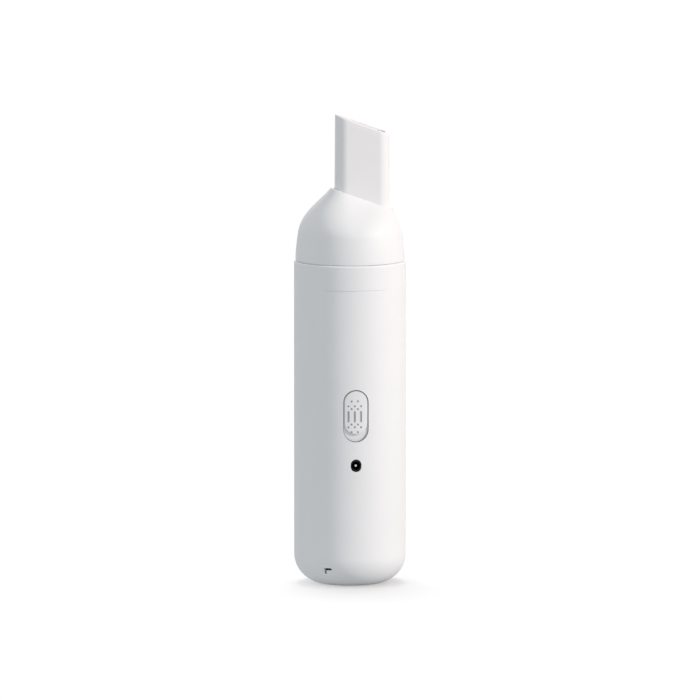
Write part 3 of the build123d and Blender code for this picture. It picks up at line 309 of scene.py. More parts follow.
def node_in(tree, kind, inputs=None, **settings):
    """New node in a tree, with its settings and its inputs."""
    node = tree.nodes.new(kind)
    for name, setting in settings.items():
        setattr(node, name, setting)
    return fill(tree, node, inputs or {})


def maths(tree, operation, first, second=0):
    """Math node in a tree. Each side is a number or comes from another node."""
    return node_in(tree, "ShaderNodeMath", {0: first, 1: second}, operation=operation)


def vector(tree, **parts):
    """Vector put together from its parts along X, Y and Z."""
    return node_in(tree, "ShaderNodeCombineXYZ", parts)


def place_parts(tree):
    """The parts of each point's place along X, Y and Z."""
    place = node_in(tree, "GeometryNodeInputPosition")
    return node_in(tree, "ShaderNodeSeparateXYZ", {0: place}).outputs


def tree_with(name, inputs):
    """New Geometry Nodes tree with named inputs, and what they give."""
    tree = bpy.data.node_groups.new(name, "GeometryNodeTree")
    for socket_name, kind in [("Geometry", "Geometry"), *inputs]:
        tree.interface.new_socket(socket_name, in_out="INPUT", socket_type="NodeSocket" + kind)
    tree.interface.new_socket("Geometry", in_out="OUTPUT", socket_type="NodeSocketGeometry")
    return tree, tree.nodes.new("NodeGroupInput").outputs


def ended(tree, shape, material):
    """The tree, which gives out its shape as one real mesh in a material."""
    real = node_in(tree, "GeometryNodeRealizeInstances", {0: shape})
    painted = node_in(tree, "GeometryNodeSetMaterial", {"Geometry": real, "Material": material})
    node_in(tree, "NodeGroupOutput", {0: painted})
    return tree


def run_tree(piece, tree, **inputs):
    """The piece after a Geometry Nodes tree, whose named inputs are set first."""
    step = piece.modifiers.new(tree.name, "NODES")
    step.node_group = tree
    for socket in tree.interface.items_tree:
        key = socket.name.replace(" ", "_").lower()
        if socket.in_out == "INPUT" and key in inputs:
            step[socket.identifier] = inputs[key]
    return flattened(piece)


print("node helpers ready")

# %% [markdown]
# ## A tree for turned pieces
#
# The body, the foot and the socket's pin are round all about one axis, as if turned
# on a lathe. A rule makes such a piece: take the points of its profile, and copy them
# round the axis. In Geometry Nodes a grid does this. Its rows are the profile's points,
# its columns are the steps round the axis, and each point is moved to its place. The
# poles and the seam fall together and are merged.

# %% The tree for turned pieces
def turned_tree():
    """Geometry Nodes tree that turns a profile about the Z axis."""
    tree, given = tree_with("turned body", [("Sides", "Int"), ("Finish", "Material")])
    profile, sides = given["Geometry"], given["Sides"]
    rows = node_in(tree, "GeometryNodeAttributeDomainSize", {0: profile}).outputs["Point Count"]
    grid = node_in(tree, "GeometryNodeMeshGrid", {
        "Vertices X": maths(tree, "ADD", sides, 1), "Vertices Y": rows})

    index = node_in(tree, "GeometryNodeInputIndex")
    row = maths(tree, "MODULO", index, rows)
    column = maths(tree, "FLOOR", maths(tree, "DIVIDE", index, rows))
    angle = maths(tree, "MULTIPLY", maths(tree, "DIVIDE", column, sides), 2 * pi)

    place = node_in(tree, "GeometryNodeInputPosition")
    spot = node_in(tree, "GeometryNodeSampleIndex", {
        "Geometry": profile, "Value": place, "Index": row}, data_type="FLOAT_VECTOR")
    swung = node_in(tree, "ShaderNodeVectorRotate", {"Vector": spot, "Angle": angle},
                    rotation_type="Z_AXIS")
    moved = node_in(tree, "GeometryNodeSetPosition", {"Geometry": grid, "Position": swung})
    merged = node_in(tree, "GeometryNodeMergeByDistance", {"Geometry": moved, "Distance": MERGE * MM})
    return ended(tree, merged, given["Finish"])


TURNED = turned_tree()


def turned(name, profile, finish, sides=128):
    """Closed turned body from a profile of (radius, height) points."""
    points = [(radius, 0, height) for radius, height in profile]
    piece = new_piece(name, points, [])
    run_tree(piece, TURNED, sides=sides, finish=finish)
    return tidied(piece)


def facing_front(piece):
    """A turned piece laid over, so that its height runs along Y."""
    piece.data.transform(Matrix.Rotation(pi / 2, 4, "X"))
    return piece


print("tree nodes:", len(TURNED.nodes))

# %% [markdown]
# ## Finishes
#
# Three effects come back in many materials, so each is a node group that is built once:
# the skin of a moulded plastic, the streaks of worked metal, and the pores of a foam or
# fibre. A group gives only colours, roughness and a bumped normal. The shader itself
# stays in each material, with its constant values on its own sockets.

# %% Helpers for the groups
NOISE_LOW, NOISE_HIGH = 0.3, 0.7


def group_with(name, inputs):
    """New shader node group with named inputs, and what they give. Its outputs are colour,
    roughness and normal."""
    group = bpy.data.node_groups.new(name, "ShaderNodeTree")
    for socket_name, kind, value in inputs:
        socket = group.interface.new_socket(socket_name, in_out="INPUT", socket_type="NodeSocket" + kind)
        socket.default_value = value
    for socket_name, kind in (("Color", "Color"), ("Roughness", "Float"), ("Normal", "Vector")):
        group.interface.new_socket(socket_name, in_out="OUTPUT", socket_type="NodeSocket" + kind)
    return group, group.nodes.new("NodeGroupInput").outputs


def noise(tree, place, scale, detail=2.0):
    """Noise on a place. Its scale says how fine it is, in spots to the metre."""
    return node_in(tree, "ShaderNodeTexNoise", {
        "Vector": place, "Scale": scale, "Detail": detail}).outputs["Fac"]


def spread(tree, value, low, high):
    """Noise, spread so that its usual range runs from low to high."""
    return node_in(tree, "ShaderNodeMapRange", {
        "Value": value, "From Min": NOISE_LOW, "From Max": NOISE_HIGH, "To Min": low, "To Max": high})


def bumped(tree, height, depth):
    """Normal of a surface with a height of nought to one, scaled to a depth in metres."""
    return node_in(tree, "ShaderNodeBump", {"Strength": 1.0, "Distance": depth, "Height": height})


def tinted(tree, colour, factor):
    """Colour multiplied by a grey factor."""
    return node_in(tree, "ShaderNodeVectorMath", {0: colour, "Scale": factor}, operation="SCALE")


print("noise is spread from", NOISE_LOW, "to", NOISE_HIGH)

# %% [markdown]
# ### Moulded plastic
#
# A steel mould is blasted with grit, and each piece takes its fine grain. Some patches
# polish up sooner than others, so the gloss changes a little over the surface.

# %% Group for moulded plastic
def moulded_skin():
    """Skin of a moulded plastic: fine grain, and patches that are a little glossier."""
    group, given = group_with("moulded skin", [
        ("Color", "Color", (0.8, 0.8, 0.8, 1)), ("Roughness", "Float", 0.4),
        ("Grain Scale", "Float", 4000.0), ("Grain Depth", "Float", 0.00001),
        ("Patchiness", "Float", 0.04)])
    rough, patchy = given["Roughness"], given["Patchiness"]
    place = node_in(group, "ShaderNodeTexCoord").outputs["Object"]
    grain = noise(group, place, given["Grain Scale"], 3.0)
    patches = noise(group, place, 55.0, 3.0)
    darkest = maths(group, "SUBTRACT", 1.0, maths(group, "MULTIPLY", patchy, 0.4))
    smooth = maths(group, "SUBTRACT", rough, patchy)
    coarse = maths(group, "ADD", rough, patchy)
    node_in(group, "NodeGroupOutput", {
        "Color": tinted(group, given["Color"], spread(group, patches, darkest, 1.0)),
        "Roughness": spread(group, patches, smooth, coarse),
        "Normal": bumped(group, grain, given["Grain Depth"])})
    return group


MOULDED = moulded_skin()
print("nodes in", MOULDED.name + ":", len(MOULDED.nodes))

# %% [markdown]
# ### Worked metal
#
# Drawing, turning and rolling leave streaks in metal. Noise that is stretched far in one
# direction gives such streaks, and a coarser noise adds the stains of handling.

# %% Group for worked metal
def worked_metal():
    """Worked metal: streaks along or round the piece, set by how the place is stretched."""
    group, given = group_with("worked metal", [
        ("Color", "Color", (0.6, 0.6, 0.6, 1)), ("Roughness", "Float", 0.35),
        ("Stretch", "Vector", (1.0, 1.0, 1.0)), ("Streak Depth", "Float", 0.000004)])
    place = node_in(group, "ShaderNodeTexCoord").outputs["Object"]
    stretched = node_in(group, "ShaderNodeVectorMath", {0: place, 1: given["Stretch"]},
                        operation="MULTIPLY")
    streaks = noise(group, stretched, 900.0, 4.0)
    stains = noise(group, place, 180.0)
    smooth = maths(group, "MULTIPLY", given["Roughness"], 0.7)
    coarse = maths(group, "MULTIPLY", given["Roughness"], 1.3)
    node_in(group, "NodeGroupOutput", {
        "Color": tinted(group, given["Color"], spread(group, stains, 0.86, 1.0)),
        "Roughness": spread(group, streaks, smooth, coarse),
        "Normal": bumped(group, streaks, given["Streak Depth"])})
    return group


WORKED = worked_metal()
print("nodes in", WORKED.name + ":", len(WORKED.nodes))

# %% [markdown]
# ### Foam and fibre
#
# Foam is a heap of burst bubbles. Voronoi cells have the same look: each cell is a hollow, and
# the distance to the nearest edge tells the thin walls from the hollows, which get painted shade.

# %% Group for foam and fibre
def open_pores():
    """Pores of a foam or the mat of a fibre: hollows with painted shade between light walls."""
    group, given = group_with("open pores", [
        ("Color", "Color", (0.2, 0.2, 0.2, 1)), ("Roughness", "Float", 0.9),
        ("Pore Scale", "Float", 1500.0), ("Pore Depth", "Float", 0.0003)])
    place = node_in(group, "ShaderNodeTexCoord").outputs["Object"]
    cells = node_in(group, "ShaderNodeTexVoronoi", {
        "Vector": place, "Scale": given["Pore Scale"]}, feature="DISTANCE_TO_EDGE")
    wall = node_in(group, "ShaderNodeMapRange", {
        "Value": cells.outputs["Distance"], "From Max": 0.25, "To Min": 1.0, "To Max": 0.0})
    # The hollows are painted darker than the walls: this is painted shade in the pores.
    shade = maths(group, "ADD", maths(group, "MULTIPLY", wall, 0.6), 0.4)
    fuzz = maths(group, "MULTIPLY", noise(group, place, 900.0), 0.1)
    node_in(group, "NodeGroupOutput", {
        "Color": tinted(group, given["Color"], shade),
        "Roughness": maths(group, "SUBTRACT", given["Roughness"], fuzz),
        "Normal": bumped(group, wall, given["Pore Depth"])})
    return group


PORES = open_pores()
print("nodes in", PORES.name + ":", len(PORES.nodes))

# %% [markdown]
# ## Materials from the groups
#
# One short function makes each material: it places a group, sets the group's values for
# this material, and joins it to a Principled BSDF. Whites stay under full white, so that
# light can still draw shapes on them, and blacks stay over full black for the same reason.

# %% One function, many materials
def finish(name, group, values, constants):
    """Material whose shader takes colour, roughness and normal from a node group."""
    material = bpy.data.materials.new(name)
    material.use_nodes = True
    tree = material.node_tree
    effect = node_in(tree, "ShaderNodeGroup", values, node_tree=group).outputs
    fill(tree, tree.nodes["Principled BSDF"], {
        "Base Color": effect["Color"], "Roughness": effect["Roughness"], "Normal": effect["Normal"],
        **constants})
    return material


def plastic(name, colour, roughness, grain=4000.0, depth=0.006, patchiness=0.03, shine=0.5):
    """Moulded plastic. The grain's depth is in millimetres."""
    return finish(name, MOULDED, {"Color": (*colour, 1), "Roughness": roughness, "Grain Scale": grain,
                                  "Grain Depth": depth * MM, "Patchiness": patchiness},
                  {"Specular IOR Level": shine})


def metal(name, colour, roughness, stretch=(1, 1, 12)):
    """Worked metal with streaks across the way that its place is stretched."""
    return finish(name, WORKED, {"Color": (*colour, 1), "Roughness": roughness, "Stretch": stretch},
                  {"Metallic": 1.0})


def porous(name, colour, scale, depth):
    """Foam or fibre. Pores to the metre, and the pores' depth in millimetres."""
    return finish(name, PORES, {"Color": (*colour, 1), "Pore Scale": scale, "Pore Depth": depth * MM},
                  {"Specular IOR Level": 0.2})


WHITE_SHELL = plastic("white shell", (0.880, 0.885, 0.890), 0.50, shine=0.2)
WHITE_CUP = plastic("white cup", (0.880, 0.884, 0.888), 0.48, shine=0.2)
WHITE_NOZZLE = plastic("white nozzle", (0.885, 0.878, 0.878), 0.50, shine=0.2)
WHITE_SLIDER = plastic("white slider", (0.870, 0.874, 0.880), 0.50, 2500.0, 0.012, shine=0.2)
# The grip grey is painted shade, which darkens the floors of the pad's hollows.
GRIP_SHADE_GREY = plastic("grip painted shade grey", (0.50, 0.51, 0.52), 0.60, 2500.0, 0.012, shine=0.2)
# The track's dark grey is painted shade, which stands for the shadow in the gap round the slider.
TRACK_SHADE_GREY = plastic("track painted shade grey", (0.12, 0.122, 0.125), 0.60, 2500.0, 0.010, shine=0.2)
INNER_GREY = plastic("inner grey", (0.52, 0.53, 0.55), 0.55, 1800.0, 0.02, 0.06)
FAN_GREY = plastic("fan grey", (0.10, 0.11, 0.13), 0.35, 3000.0, 0.005, 0.05)
BLACK = plastic("black socket", (0.012, 0.012, 0.013), 0.45, 3000.0, 0.006, 0.05, shine=0.15)
CHIP_BLACK = plastic("chip black", (0.03, 0.03, 0.032), 0.6, 5000.0, 0.02, 0.08)
RUBBER = plastic("soft rubber", (0.22, 0.225, 0.23), 0.75, 1500.0, 0.03, 0.06)
WIRE_RED = plastic("wire red", (0.42, 0.02, 0.015), 0.38, 2500.0, 0.004, 0.05)
CELL_WRAP = plastic("cell wrap", (0.04, 0.19, 0.36), 0.30, 350.0, 0.05, 0.08)
BOARD_GREEN = plastic("board green", (0.015, 0.14, 0.055), 0.35, 1200.0, 0.02, 0.10)
MAGNET = plastic("magnet", (0.055, 0.055, 0.06), 0.6, 2500.0, 0.02, 0.08)
CARBON = plastic("carbon", (0.02, 0.02, 0.021), 0.5, 3500.0, 0.02, 0.10)
STEEL = metal("steel", (0.62, 0.62, 0.63), 0.32)
SCREW_STEEL = metal("screw steel", (0.55, 0.55, 0.57), 0.36, (8, 8, 1))
NICKEL = metal("nickel", (0.72, 0.70, 0.66), 0.22, (6, 1, 6))
BRASS = metal("brass", (0.72, 0.52, 0.24), 0.30)
COPPER = metal("copper", (0.74, 0.34, 0.20), 0.30, (1, 1, 30))
CORE_STEEL = metal("core steel", (0.30, 0.30, 0.31), 0.42, (1, 1, 60))
MESH_STEEL = metal("mesh steel", (0.60, 0.60, 0.61), 0.34, (2, 2, 2))
FOAM = porous("foam", (0.10, 0.10, 0.105), 1300.0, 0.35)
PAPER = porous("filter paper", (0.80, 0.79, 0.74), 3200.0, 0.05)
print("materials:", len(bpy.data.materials))

# %% [markdown]
# ## The body sleeve
#
# The real sleeve is one deep moulding: a tube with a round bottom, open at the top. It
# is turned from its profile, walls and all, so it has a true thickness. Its edge at the
# seam is rounded, and this rounding is what shows as a fine light line.

# %% Turn the sleeve
def sleeve_profile():
    """Profile from the axis, round under the base, up the outside and down the inside."""
    inner = BODY_RADIUS - BODY_WALL
    bend = BODY_RADIUS - BASE_ROUND
    inner_bend = inner - (BASE_ROUND - BODY_WALL)
    bend_z = BASE_Z + BASE_ROUND
    floor_angle = -degrees(asin((bend_z - FLOOR_TOP) / (BASE_ROUND - BODY_WALL)))
    profile = [(0, foot_high.z), (FOOT_POCKET, foot_high.z), (FOOT_POCKET, BASE_Z)]
    profile += arc(bend, bend_z, BASE_ROUND, -90, 0, 28)
    rows = 20
    top = SEAM_Z - SEAM_ROUND
    profile += [(BODY_RADIUS, bend_z + (top - bend_z) * k / rows) for k in range(1, rows)]
    profile += arc(BODY_RADIUS - SEAM_ROUND, top, SEAM_ROUND, 0, 90, 6)
    profile += [(inner + SEAM_INNER_EDGE, SEAM_Z), (inner, SEAM_Z - SEAM_INNER_EDGE)]
    profile += arc(inner_bend, bend_z, BASE_ROUND - BODY_WALL, 0, floor_angle, 10)
    profile.append((0, FLOOR_TOP))
    return profile


sleeve = turned("sleeve_shell", sleeve_profile(), WHITE_SHELL, sides=240)
boss = block("boss", (-BOSS_WIDTH / 2, BOSS_FRONT, SWITCH_Z - BOSS_HEIGHT / 2),
             (BOSS_WIDTH / 2, BOSS_BACK, SWITCH_Z + BOSS_HEIGHT / 2))
combined(sleeve, boss, "UNION")
report(sleeve)

# %% [markdown]
# ### Openings with soft lips
#
# A mould can't leave a knife edge, and neither can an opening that a thumb slides over.
# So each tool that cuts an opening flares out where it meets the round surface. The cut
# then has a lip that catches the light, and no bevel has to find its way round a hole.
# The walls of the switch's track are dark grey: painted shade that draws the gap's outline all round the
# slider.

# %% Tools that flare at the surface
def stadium(width, height, steps=20):
    """Points of an upright slot outline, each with its outward direction."""
    radius = width / 2
    rise = height / 2 - radius
    outline = []
    for start, middle in ((0, rise), (pi, -rise)):
        for k in range(steps + 1):
            a = start + pi * k / steps
            outline.append((radius * cos(a), middle + radius * sin(a), cos(a), sin(a)))
    return outline


def flared_tool(name, outline, z, lip, end_y):
    """Tool that cuts an outline in from the front, down to end_y, with a rounded lip."""
    def ring(offset, depth):
        spots = []
        for px, pz, nx, nz in outline:
            across = px + nx * offset
            spots.append((across, -sqrt((BODY_RADIUS - depth) ** 2 - across ** 2), z + pz + nz * offset))
        return spots

    shallow = radians(20)
    steps = 5
    run_out = 0.3 * lip
    rings = [[(px + nx * lip, -BODY_RADIUS - 1, z + pz + nz * lip) for px, pz, nx, nz in outline]]
    rings.append(ring(lip * (1 - sin(shallow)) + run_out * cos(shallow),
                      lip * (1 - cos(shallow)) - run_out * sin(shallow)))
    for k in range(steps + 1):
        a = shallow + (pi / 2 - shallow) * k / steps
        rings.append(ring(lip * (1 - sin(a)), lip * (1 - cos(a))))
    rings.append([(px, end_y, z + pz) for px, pz, nx, nz in outline])
    return capped(name, rings)


floor_y = RECESS_DEPTH - BODY_RADIUS
recess = flared_tool("recess", stadium(RECESS_WIDTH, RECESS_HEIGHT), SWITCH_Z, RECESS_LIP, floor_y)
# Dark grey on the track's lip and walls is painted shade for the gap round the slider. Only the track's
# floor stays white.
recess.data.materials.append(TRACK_SHADE_GREY)
recess.data.materials.append(WHITE_SHELL)
for face in recess.data.polygons:
    depths = [recess.data.vertices[v].co.y / MM for v in face.vertices]
    face.material_index = int(all(abs(depth - floor_y) < 0.001 for depth in depths))
combined(sleeve, recess, "DIFFERENCE")
stem_slot = block("stem_slot", (-STEM_SLOT_WIDTH / 2, floor_y - 0.5, SWITCH_Z - STEM_SLOT_HEIGHT / 2),
                  (STEM_SLOT_WIDTH / 2, BOSS_BACK + 0.5, SWITCH_Z + STEM_SLOT_HEIGHT / 2))
combined(sleeve, stem_slot, "DIFFERENCE")
jack_hole = flared_tool("jack_hole", stadium(*JACK_HOLE, 32), JACK_Z, JACK_LIP, THROUGH_WALL)
combined(sleeve, jack_hole, "DIFFERENCE")
for side in (-1, 1):
    at = side * SCREW_SPREAD / 2
    head = [(0, BASE_Z), (HEAD_HOLE, BASE_Z), (HEAD_HOLE, HEAD_HOLE_TOP), (SCREW_HOLE, HEAD_HOLE_TOP),
            (SCREW_HOLE, FLOOR_TOP + 1), (0, FLOOR_TOP + 1)]
    hole = turned("screw_hole", head, WHITE_SHELL, sides=32)
    hole.data.transform(Matrix.Translation((at * MM, 0, 0)))
    combined(sleeve, hole, "DIFFERENCE")
report(sleeve)

# %% [markdown]
# ### The strap eye
#
# In the rounding of the base sits a small hook-shaped slot for a wrist strap. Its outline
# is drawn flat, its corners are rounded, and a straight bar of that outline cuts it.

# %% Cut the eye
def rounded_outline(spots, radius, steps=4):
    """Closed outline through corner spots, with each corner rounded."""
    points = []
    for k, spot in enumerate(spots):
        before = Vector(spots[k - 1])
        corner = Vector(spot)
        after = Vector(spots[(k + 1) % len(spots)])
        start = corner + (before - corner).normalized() * radius
        end = corner + (after - corner).normalized() * radius
        for step in range(steps + 1):
            t = step / steps
            points.append((1 - t) ** 2 * start + 2 * t * (1 - t) * corner + t ** 2 * end)
    return points


def eye_tool():
    """Hook-shaped bar that cuts the strap eye."""
    half = EYE_WIDTH / 2
    low = EYE_TOP - EYE_DROP
    inner = EYE_TOP - EYE_SLOT
    spots = [(-half, EYE_TOP), (-half, low), (-half + EYE_SLOT, low), (-half + EYE_SLOT, inner),
             (half, inner), (half, EYE_TOP)]
    outline = rounded_outline(spots, EYE_CORNER)
    rings = [[(p.x, y, p.y) for p in outline] for y in (-BODY_RADIUS, THROUGH_WALL + 2)]
    tool = capped("eye", rings)
    tool.data.transform(Matrix.Rotation(radians(EYE_ANGLE), 4, "Z"))
    return tool


combined(sleeve, eye_tool(), "DIFFERENCE")
report(sleeve)

# %% [markdown]
# ### A row of exhaust slots
#
# The air that the fan draws in leaves through upright slots in the back. One slot tool
# is drawn, and a Geometry Nodes tree sets copies of it round the axis at an even pitch.

# %% The tree, and the slots that it makes
def fan_out_tree():
    """Geometry Nodes tree that sets copies of a piece round the Z axis."""
    tree, given = tree_with("fanned out", [("Count", "Int"), ("Pitch", "Float"), ("Finish", "Material")])
    line = node_in(tree, "GeometryNodeMeshLine", {"Count": given["Count"], "Offset": (0, 0, 0)})
    half = maths(tree, "DIVIDE", maths(tree, "SUBTRACT", given["Count"], 1), 2)
    centred = maths(tree, "SUBTRACT", node_in(tree, "GeometryNodeInputIndex"), half)
    angle = maths(tree, "MULTIPLY", centred, given["Pitch"])
    turn = node_in(tree, "FunctionNodeEulerToRotation", {0: vector(tree, Z=angle)})
    copies = node_in(tree, "GeometryNodeInstanceOnPoints", {
        "Points": line, "Instance": given["Geometry"], "Rotation": turn})
    return ended(tree, copies, given["Finish"])


FANNED = fan_out_tree()
slots = flared_tool("slots", stadium(SLOT_WIDTH, SLOT_HEIGHT, 10), EXHAUST_Z, SLOT_LIP, THROUGH_WALL)
slots.data.transform(Matrix.Rotation(pi, 4, "Z"))
run_tree(slots, FANNED, count=SLOT_COUNT, pitch=radians(SLOT_PITCH), finish=WHITE_SHELL)
combined(sleeve, slots, "DIFFERENCE")
report(sleeve)

# %% [markdown]
# ### The fine line
#
# A shallow groove runs part of the way round the front, a little under the seam. It
# thins out towards both ends, as a line does that is cut into a round mould.

# %% Cut the line
def line_tool():
    """Curved sliver whose cross-section fades towards both ends."""
    steps = 60
    middle = SEAM_Z - MARK_LINE_DROP
    rings = []
    for k in range(steps + 1):
        along = 2 * k / steps - 1
        fade = (1 - along ** 8) * (1 - MARK_LINE_END) + MARK_LINE_END
        depth = MARK_LINE_DEPTH * fade
        half = MARK_LINE_HEIGHT / 2 * fade
        section = [(1.0, 1.3), (0, 1.05), (-0.5 * depth, 0.85), (-0.9 * depth, 0.5), (-depth, 0)]
        section += [(r, -h) for r, h in reversed(section[:-1])]
        a = radians(-90 + along * MARK_LINE_SPAN / 2)
        rings.append([((BODY_RADIUS + r) * cos(a), (BODY_RADIUS + r) * sin(a), middle + h * half)
                      for r, h in section])
    return capped("line", rings)


combined(sleeve, line_tool(), "DIFFERENCE")
report(sleeve)

# %% [markdown]
# ### Clean light on a cut surface
#
# Where a hole is cut into a smooth wall, the long faces round it borrow directions from
# the lip, and light smears over the wall. But the wall's shape follows a rule, so its
# true direction is known at each point. It is written into the mesh face by face.

# %% Set the wall's own directions
def directed(piece, true_normal):
    """Softened piece, whose faces on the known surface get its true directions."""
    softened(piece)
    mesh = piece.data
    normals = [Vector((0, 0, 0))] * len(mesh.loops)
    for face in mesh.polygons:
        found = [true_normal(mesh.vertices[v].co / MM) for v in face.vertices]
        if all(found) and face.normal.dot(sum(found, Vector())) > 0:
            for loop, normal in zip(face.loop_indices, found):
                normals[loop] = normal
    mesh.normals_split_custom_set(normals)
    return piece


def sleeve_normal(spot):
    """Direction of the sleeve's outer surface at a spot, or None away from it."""
    across = hypot(spot.x, spot.y)
    bend_z = BASE_Z + BASE_ROUND
    if across < 1:
        return None
    out = Vector((spot.x, spot.y, 0)) / across
    if spot.z >= bend_z and spot.z <= SEAM_Z - SEAM_ROUND + 0.001:
        return out if abs(across - BODY_RADIUS) < 0.003 else None
    if spot.z < bend_z:
        reach = Vector((across - (BODY_RADIUS - BASE_ROUND), spot.z - bend_z))
        if abs(reach.length - BASE_ROUND) < 0.02:
            return (out * reach.x + Vector((0, 0, reach.y))).normalized()
    return None


directed(sleeve, sleeve_normal)
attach(sleeve, "housing")
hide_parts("sleeve")
print("sleeve done, size", [round(side / MM, 2) for side in sleeve.dimensions])

# %% [markdown]
# ## The foot pad
#
# A rubber disc closes the base and hides its screws. Three shallow rings in its
# underside let it grip a desk. It is turned from its profile too.

# %% Turn the foot
FOOT_RINGS = (2.6, 4.8, 7.0)
RING_GROOVE = ((-0.5, 0.0), (-0.3, 0.22), (0.3, 0.22), (0.5, 0.0))
FOOT_ROUND = 0.2
FOOT_EDGE = 0.05


def foot_profile():
    """Profile of the disc, from the axis under it, round its edge and back on top."""
    radius = foot_high.x
    low, high = foot_low.z, foot_high.z
    profile = [(0, low)]
    for middle in FOOT_RINGS:
        profile += [(middle + across, low + up) for across, up in RING_GROOVE]
    profile += arc(radius - FOOT_ROUND, low + FOOT_ROUND, FOOT_ROUND, -90, 0, 5)
    profile += [(radius, high - FOOT_EDGE), (radius - FOOT_EDGE, high), (0, high)]
    return profile


foot = softened(turned("foot_disc", foot_profile(), RUBBER, sides=160))
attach(foot, "housing")
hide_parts("foot_pad")
report(foot)

# %% [markdown]
# ## The charging socket
#
# Behind an upright hole in the front sits a black socket with a bright pin in its middle.
# The nose is skinned through rings of the hole's own outline and joined to the square
# body behind it, and the bore is cut with a soft mouth, so that a plug finds its way in.

# %% Socket and pin
NOSE_LIP = 0.12
WALL_CLEARANCE = 0.1
BORE_MOUTH = ((0.0, -0.15), (0.03, -0.05), (0.13, 0.05))
PIN_ROUND = 0.35


def socket_body():
    """Nose and square body of the socket, with the bore cut out."""
    nose = stadium(*JACK_NOSE, 24)
    rings = [[(px - nx * inset, jack_low.y + drop, pz - nz * inset) for px, pz, nx, nz in nose]
             for drop, inset in quarter_round(NOSE_LIP, 4)]
    rings.append([(px, jack_high.y - 1, pz) for px, pz, nx, nz in nose])
    body = capped("socket_body", rings)
    body.data.materials.append(BLACK)
    shoulder = sqrt((BODY_RADIUS - BODY_WALL) ** 2 - jack_high.x ** 2) - WALL_CLEARANCE
    square = block("square", (jack_low.x, -shoulder, -jack_high.x), (jack_high.x, jack_high.y, jack_high.x))
    combined(body, square, "UNION")
    bore_r = JACK_BORE / 2
    front = -jack_low.y
    bore = [(0, -pin_high.y), (bore_r, -pin_high.y)]
    bore += [(bore_r + out, front + up) for out, up in BORE_MOUTH]
    bore.append((0, front + BORE_MOUTH[-1][1]))
    combined(body, facing_front(turned("bore", bore, BLACK, sides=64)), "DIFFERENCE")
    body.data.transform(Matrix.Translation((0, 0, JACK_Z * MM)))
    return body


def socket_pin():
    """Pin with a rounded tip."""
    radius = pin_high.x
    tip, back = -pin_low.y, -pin_high.y
    profile = [(0, back), (radius, back)]
    profile += arc(radius - PIN_ROUND, tip - PIN_ROUND, PIN_ROUND, 0, 90, 6) + [(0, tip)]
    pin = facing_front(turned("socket_pin", profile, NICKEL, sides=40))
    pin.data.transform(Matrix.Translation((0, 0, JACK_Z * MM)))
    return pin


socket = softened(socket_body())
pin = softened(socket_pin())
for piece, node, slot in ((socket, "jack_body", "black_plastic"), (pin, "jack_pin", "nickel")):
    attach(piece, "housing")
    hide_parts(node)
    report(piece)

# %% [markdown]
# ## The thumb slider
#
# The switch's slider is a slot-shaped pad that follows the body's curve. It is skinned
# through rings: up its side, round its edge, and then ever smaller rings over its face
# until they close on its middle line. A stem behind it goes through the sleeve.

# %% Skin the pad
SLIDER_BACK = -23.88
STEM = (3.6, 6.0)
PAD_ROUND = 0.3
FACE_RINGS = 9


def pad_rings():
    """Rings of the pad, from its back up its side and over its face to the middle."""
    radius = -slider_low.y
    width = slider_high.x - slider_low.x
    height = slider_high.z - slider_low.z
    outline = stadium(width, height, 24)

    def ring(inset, depth):
        spots = []
        for px, pz, nx, nz in outline:
            x, z = px - nx * inset, pz - nz * inset
            spots.append((x, depth - sqrt(radius ** 2 - x ** 2), SLIDER_Z + z))
        return spots

    rings = [[(px, SLIDER_BACK, SLIDER_Z + pz) for px, pz, nx, nz in outline]]
    rings += [ring(inset, depth) for inset, depth in quarter_round(PAD_ROUND, 6)]
    rest = width / 2 - PAD_ROUND
    rings += [ring(PAD_ROUND + rest * k / FACE_RINGS, 0) for k in range(1, FACE_RINGS + 1)]
    return rings


def pad_body():
    """Closed pad with its stem."""
    rings = pad_rings()
    points, faces = skinned(rings)
    faces.append(tuple(range(len(rings[0]))))
    pad = tidied(new_piece("slider_pad", points, faces))
    stem = block("stem", (-STEM[0] / 2, SLIDER_BACK - 0.3, SLIDER_Z - STEM[1] / 2),
                 (STEM[0] / 2, slider_high.y, SLIDER_Z + STEM[1] / 2))
    return combined(pad, stem, "UNION")


slider = pad_body()
slider.data.materials.append(WHITE_SLIDER)
report(slider)

# %% [markdown]
# ### Dimples for grip
#
# The pad's face has rows of dots above and below three upright bars. Each mark is a
# hollow whose grey floor is painted shade, cut by a ball or by a long round bar that dips into the face.
# A tree places them: a line of points for each row, and a copy of the tool on each point.

# %% The tree, and the hollows that it cuts
GRIP_PITCH = 2.8
GRIP_ROWS = ((3.45, 2), (4.7, 3), (6.9, 2))
GRIP_SHIFT = -0.6
GRIP_DROP = 1.8
GRIP_BALL = 0.50
GRIP_DEPTH = 0.40
GRIP_BAR = 4.1


def ball_tool(stretch):
    """Ball, drawn out upwards to a round bar if it has a stretch."""
    profile = arc(0, -stretch / 2, GRIP_BALL, -90, 0, 7) + arc(0, stretch / 2, GRIP_BALL, 0, 90, 7)
    # The tool's grey stays on the floors that it cuts, as painted shade in the hollows.
    return turned("grip_tool", profile, GRIP_SHADE_GREY, sides=20)


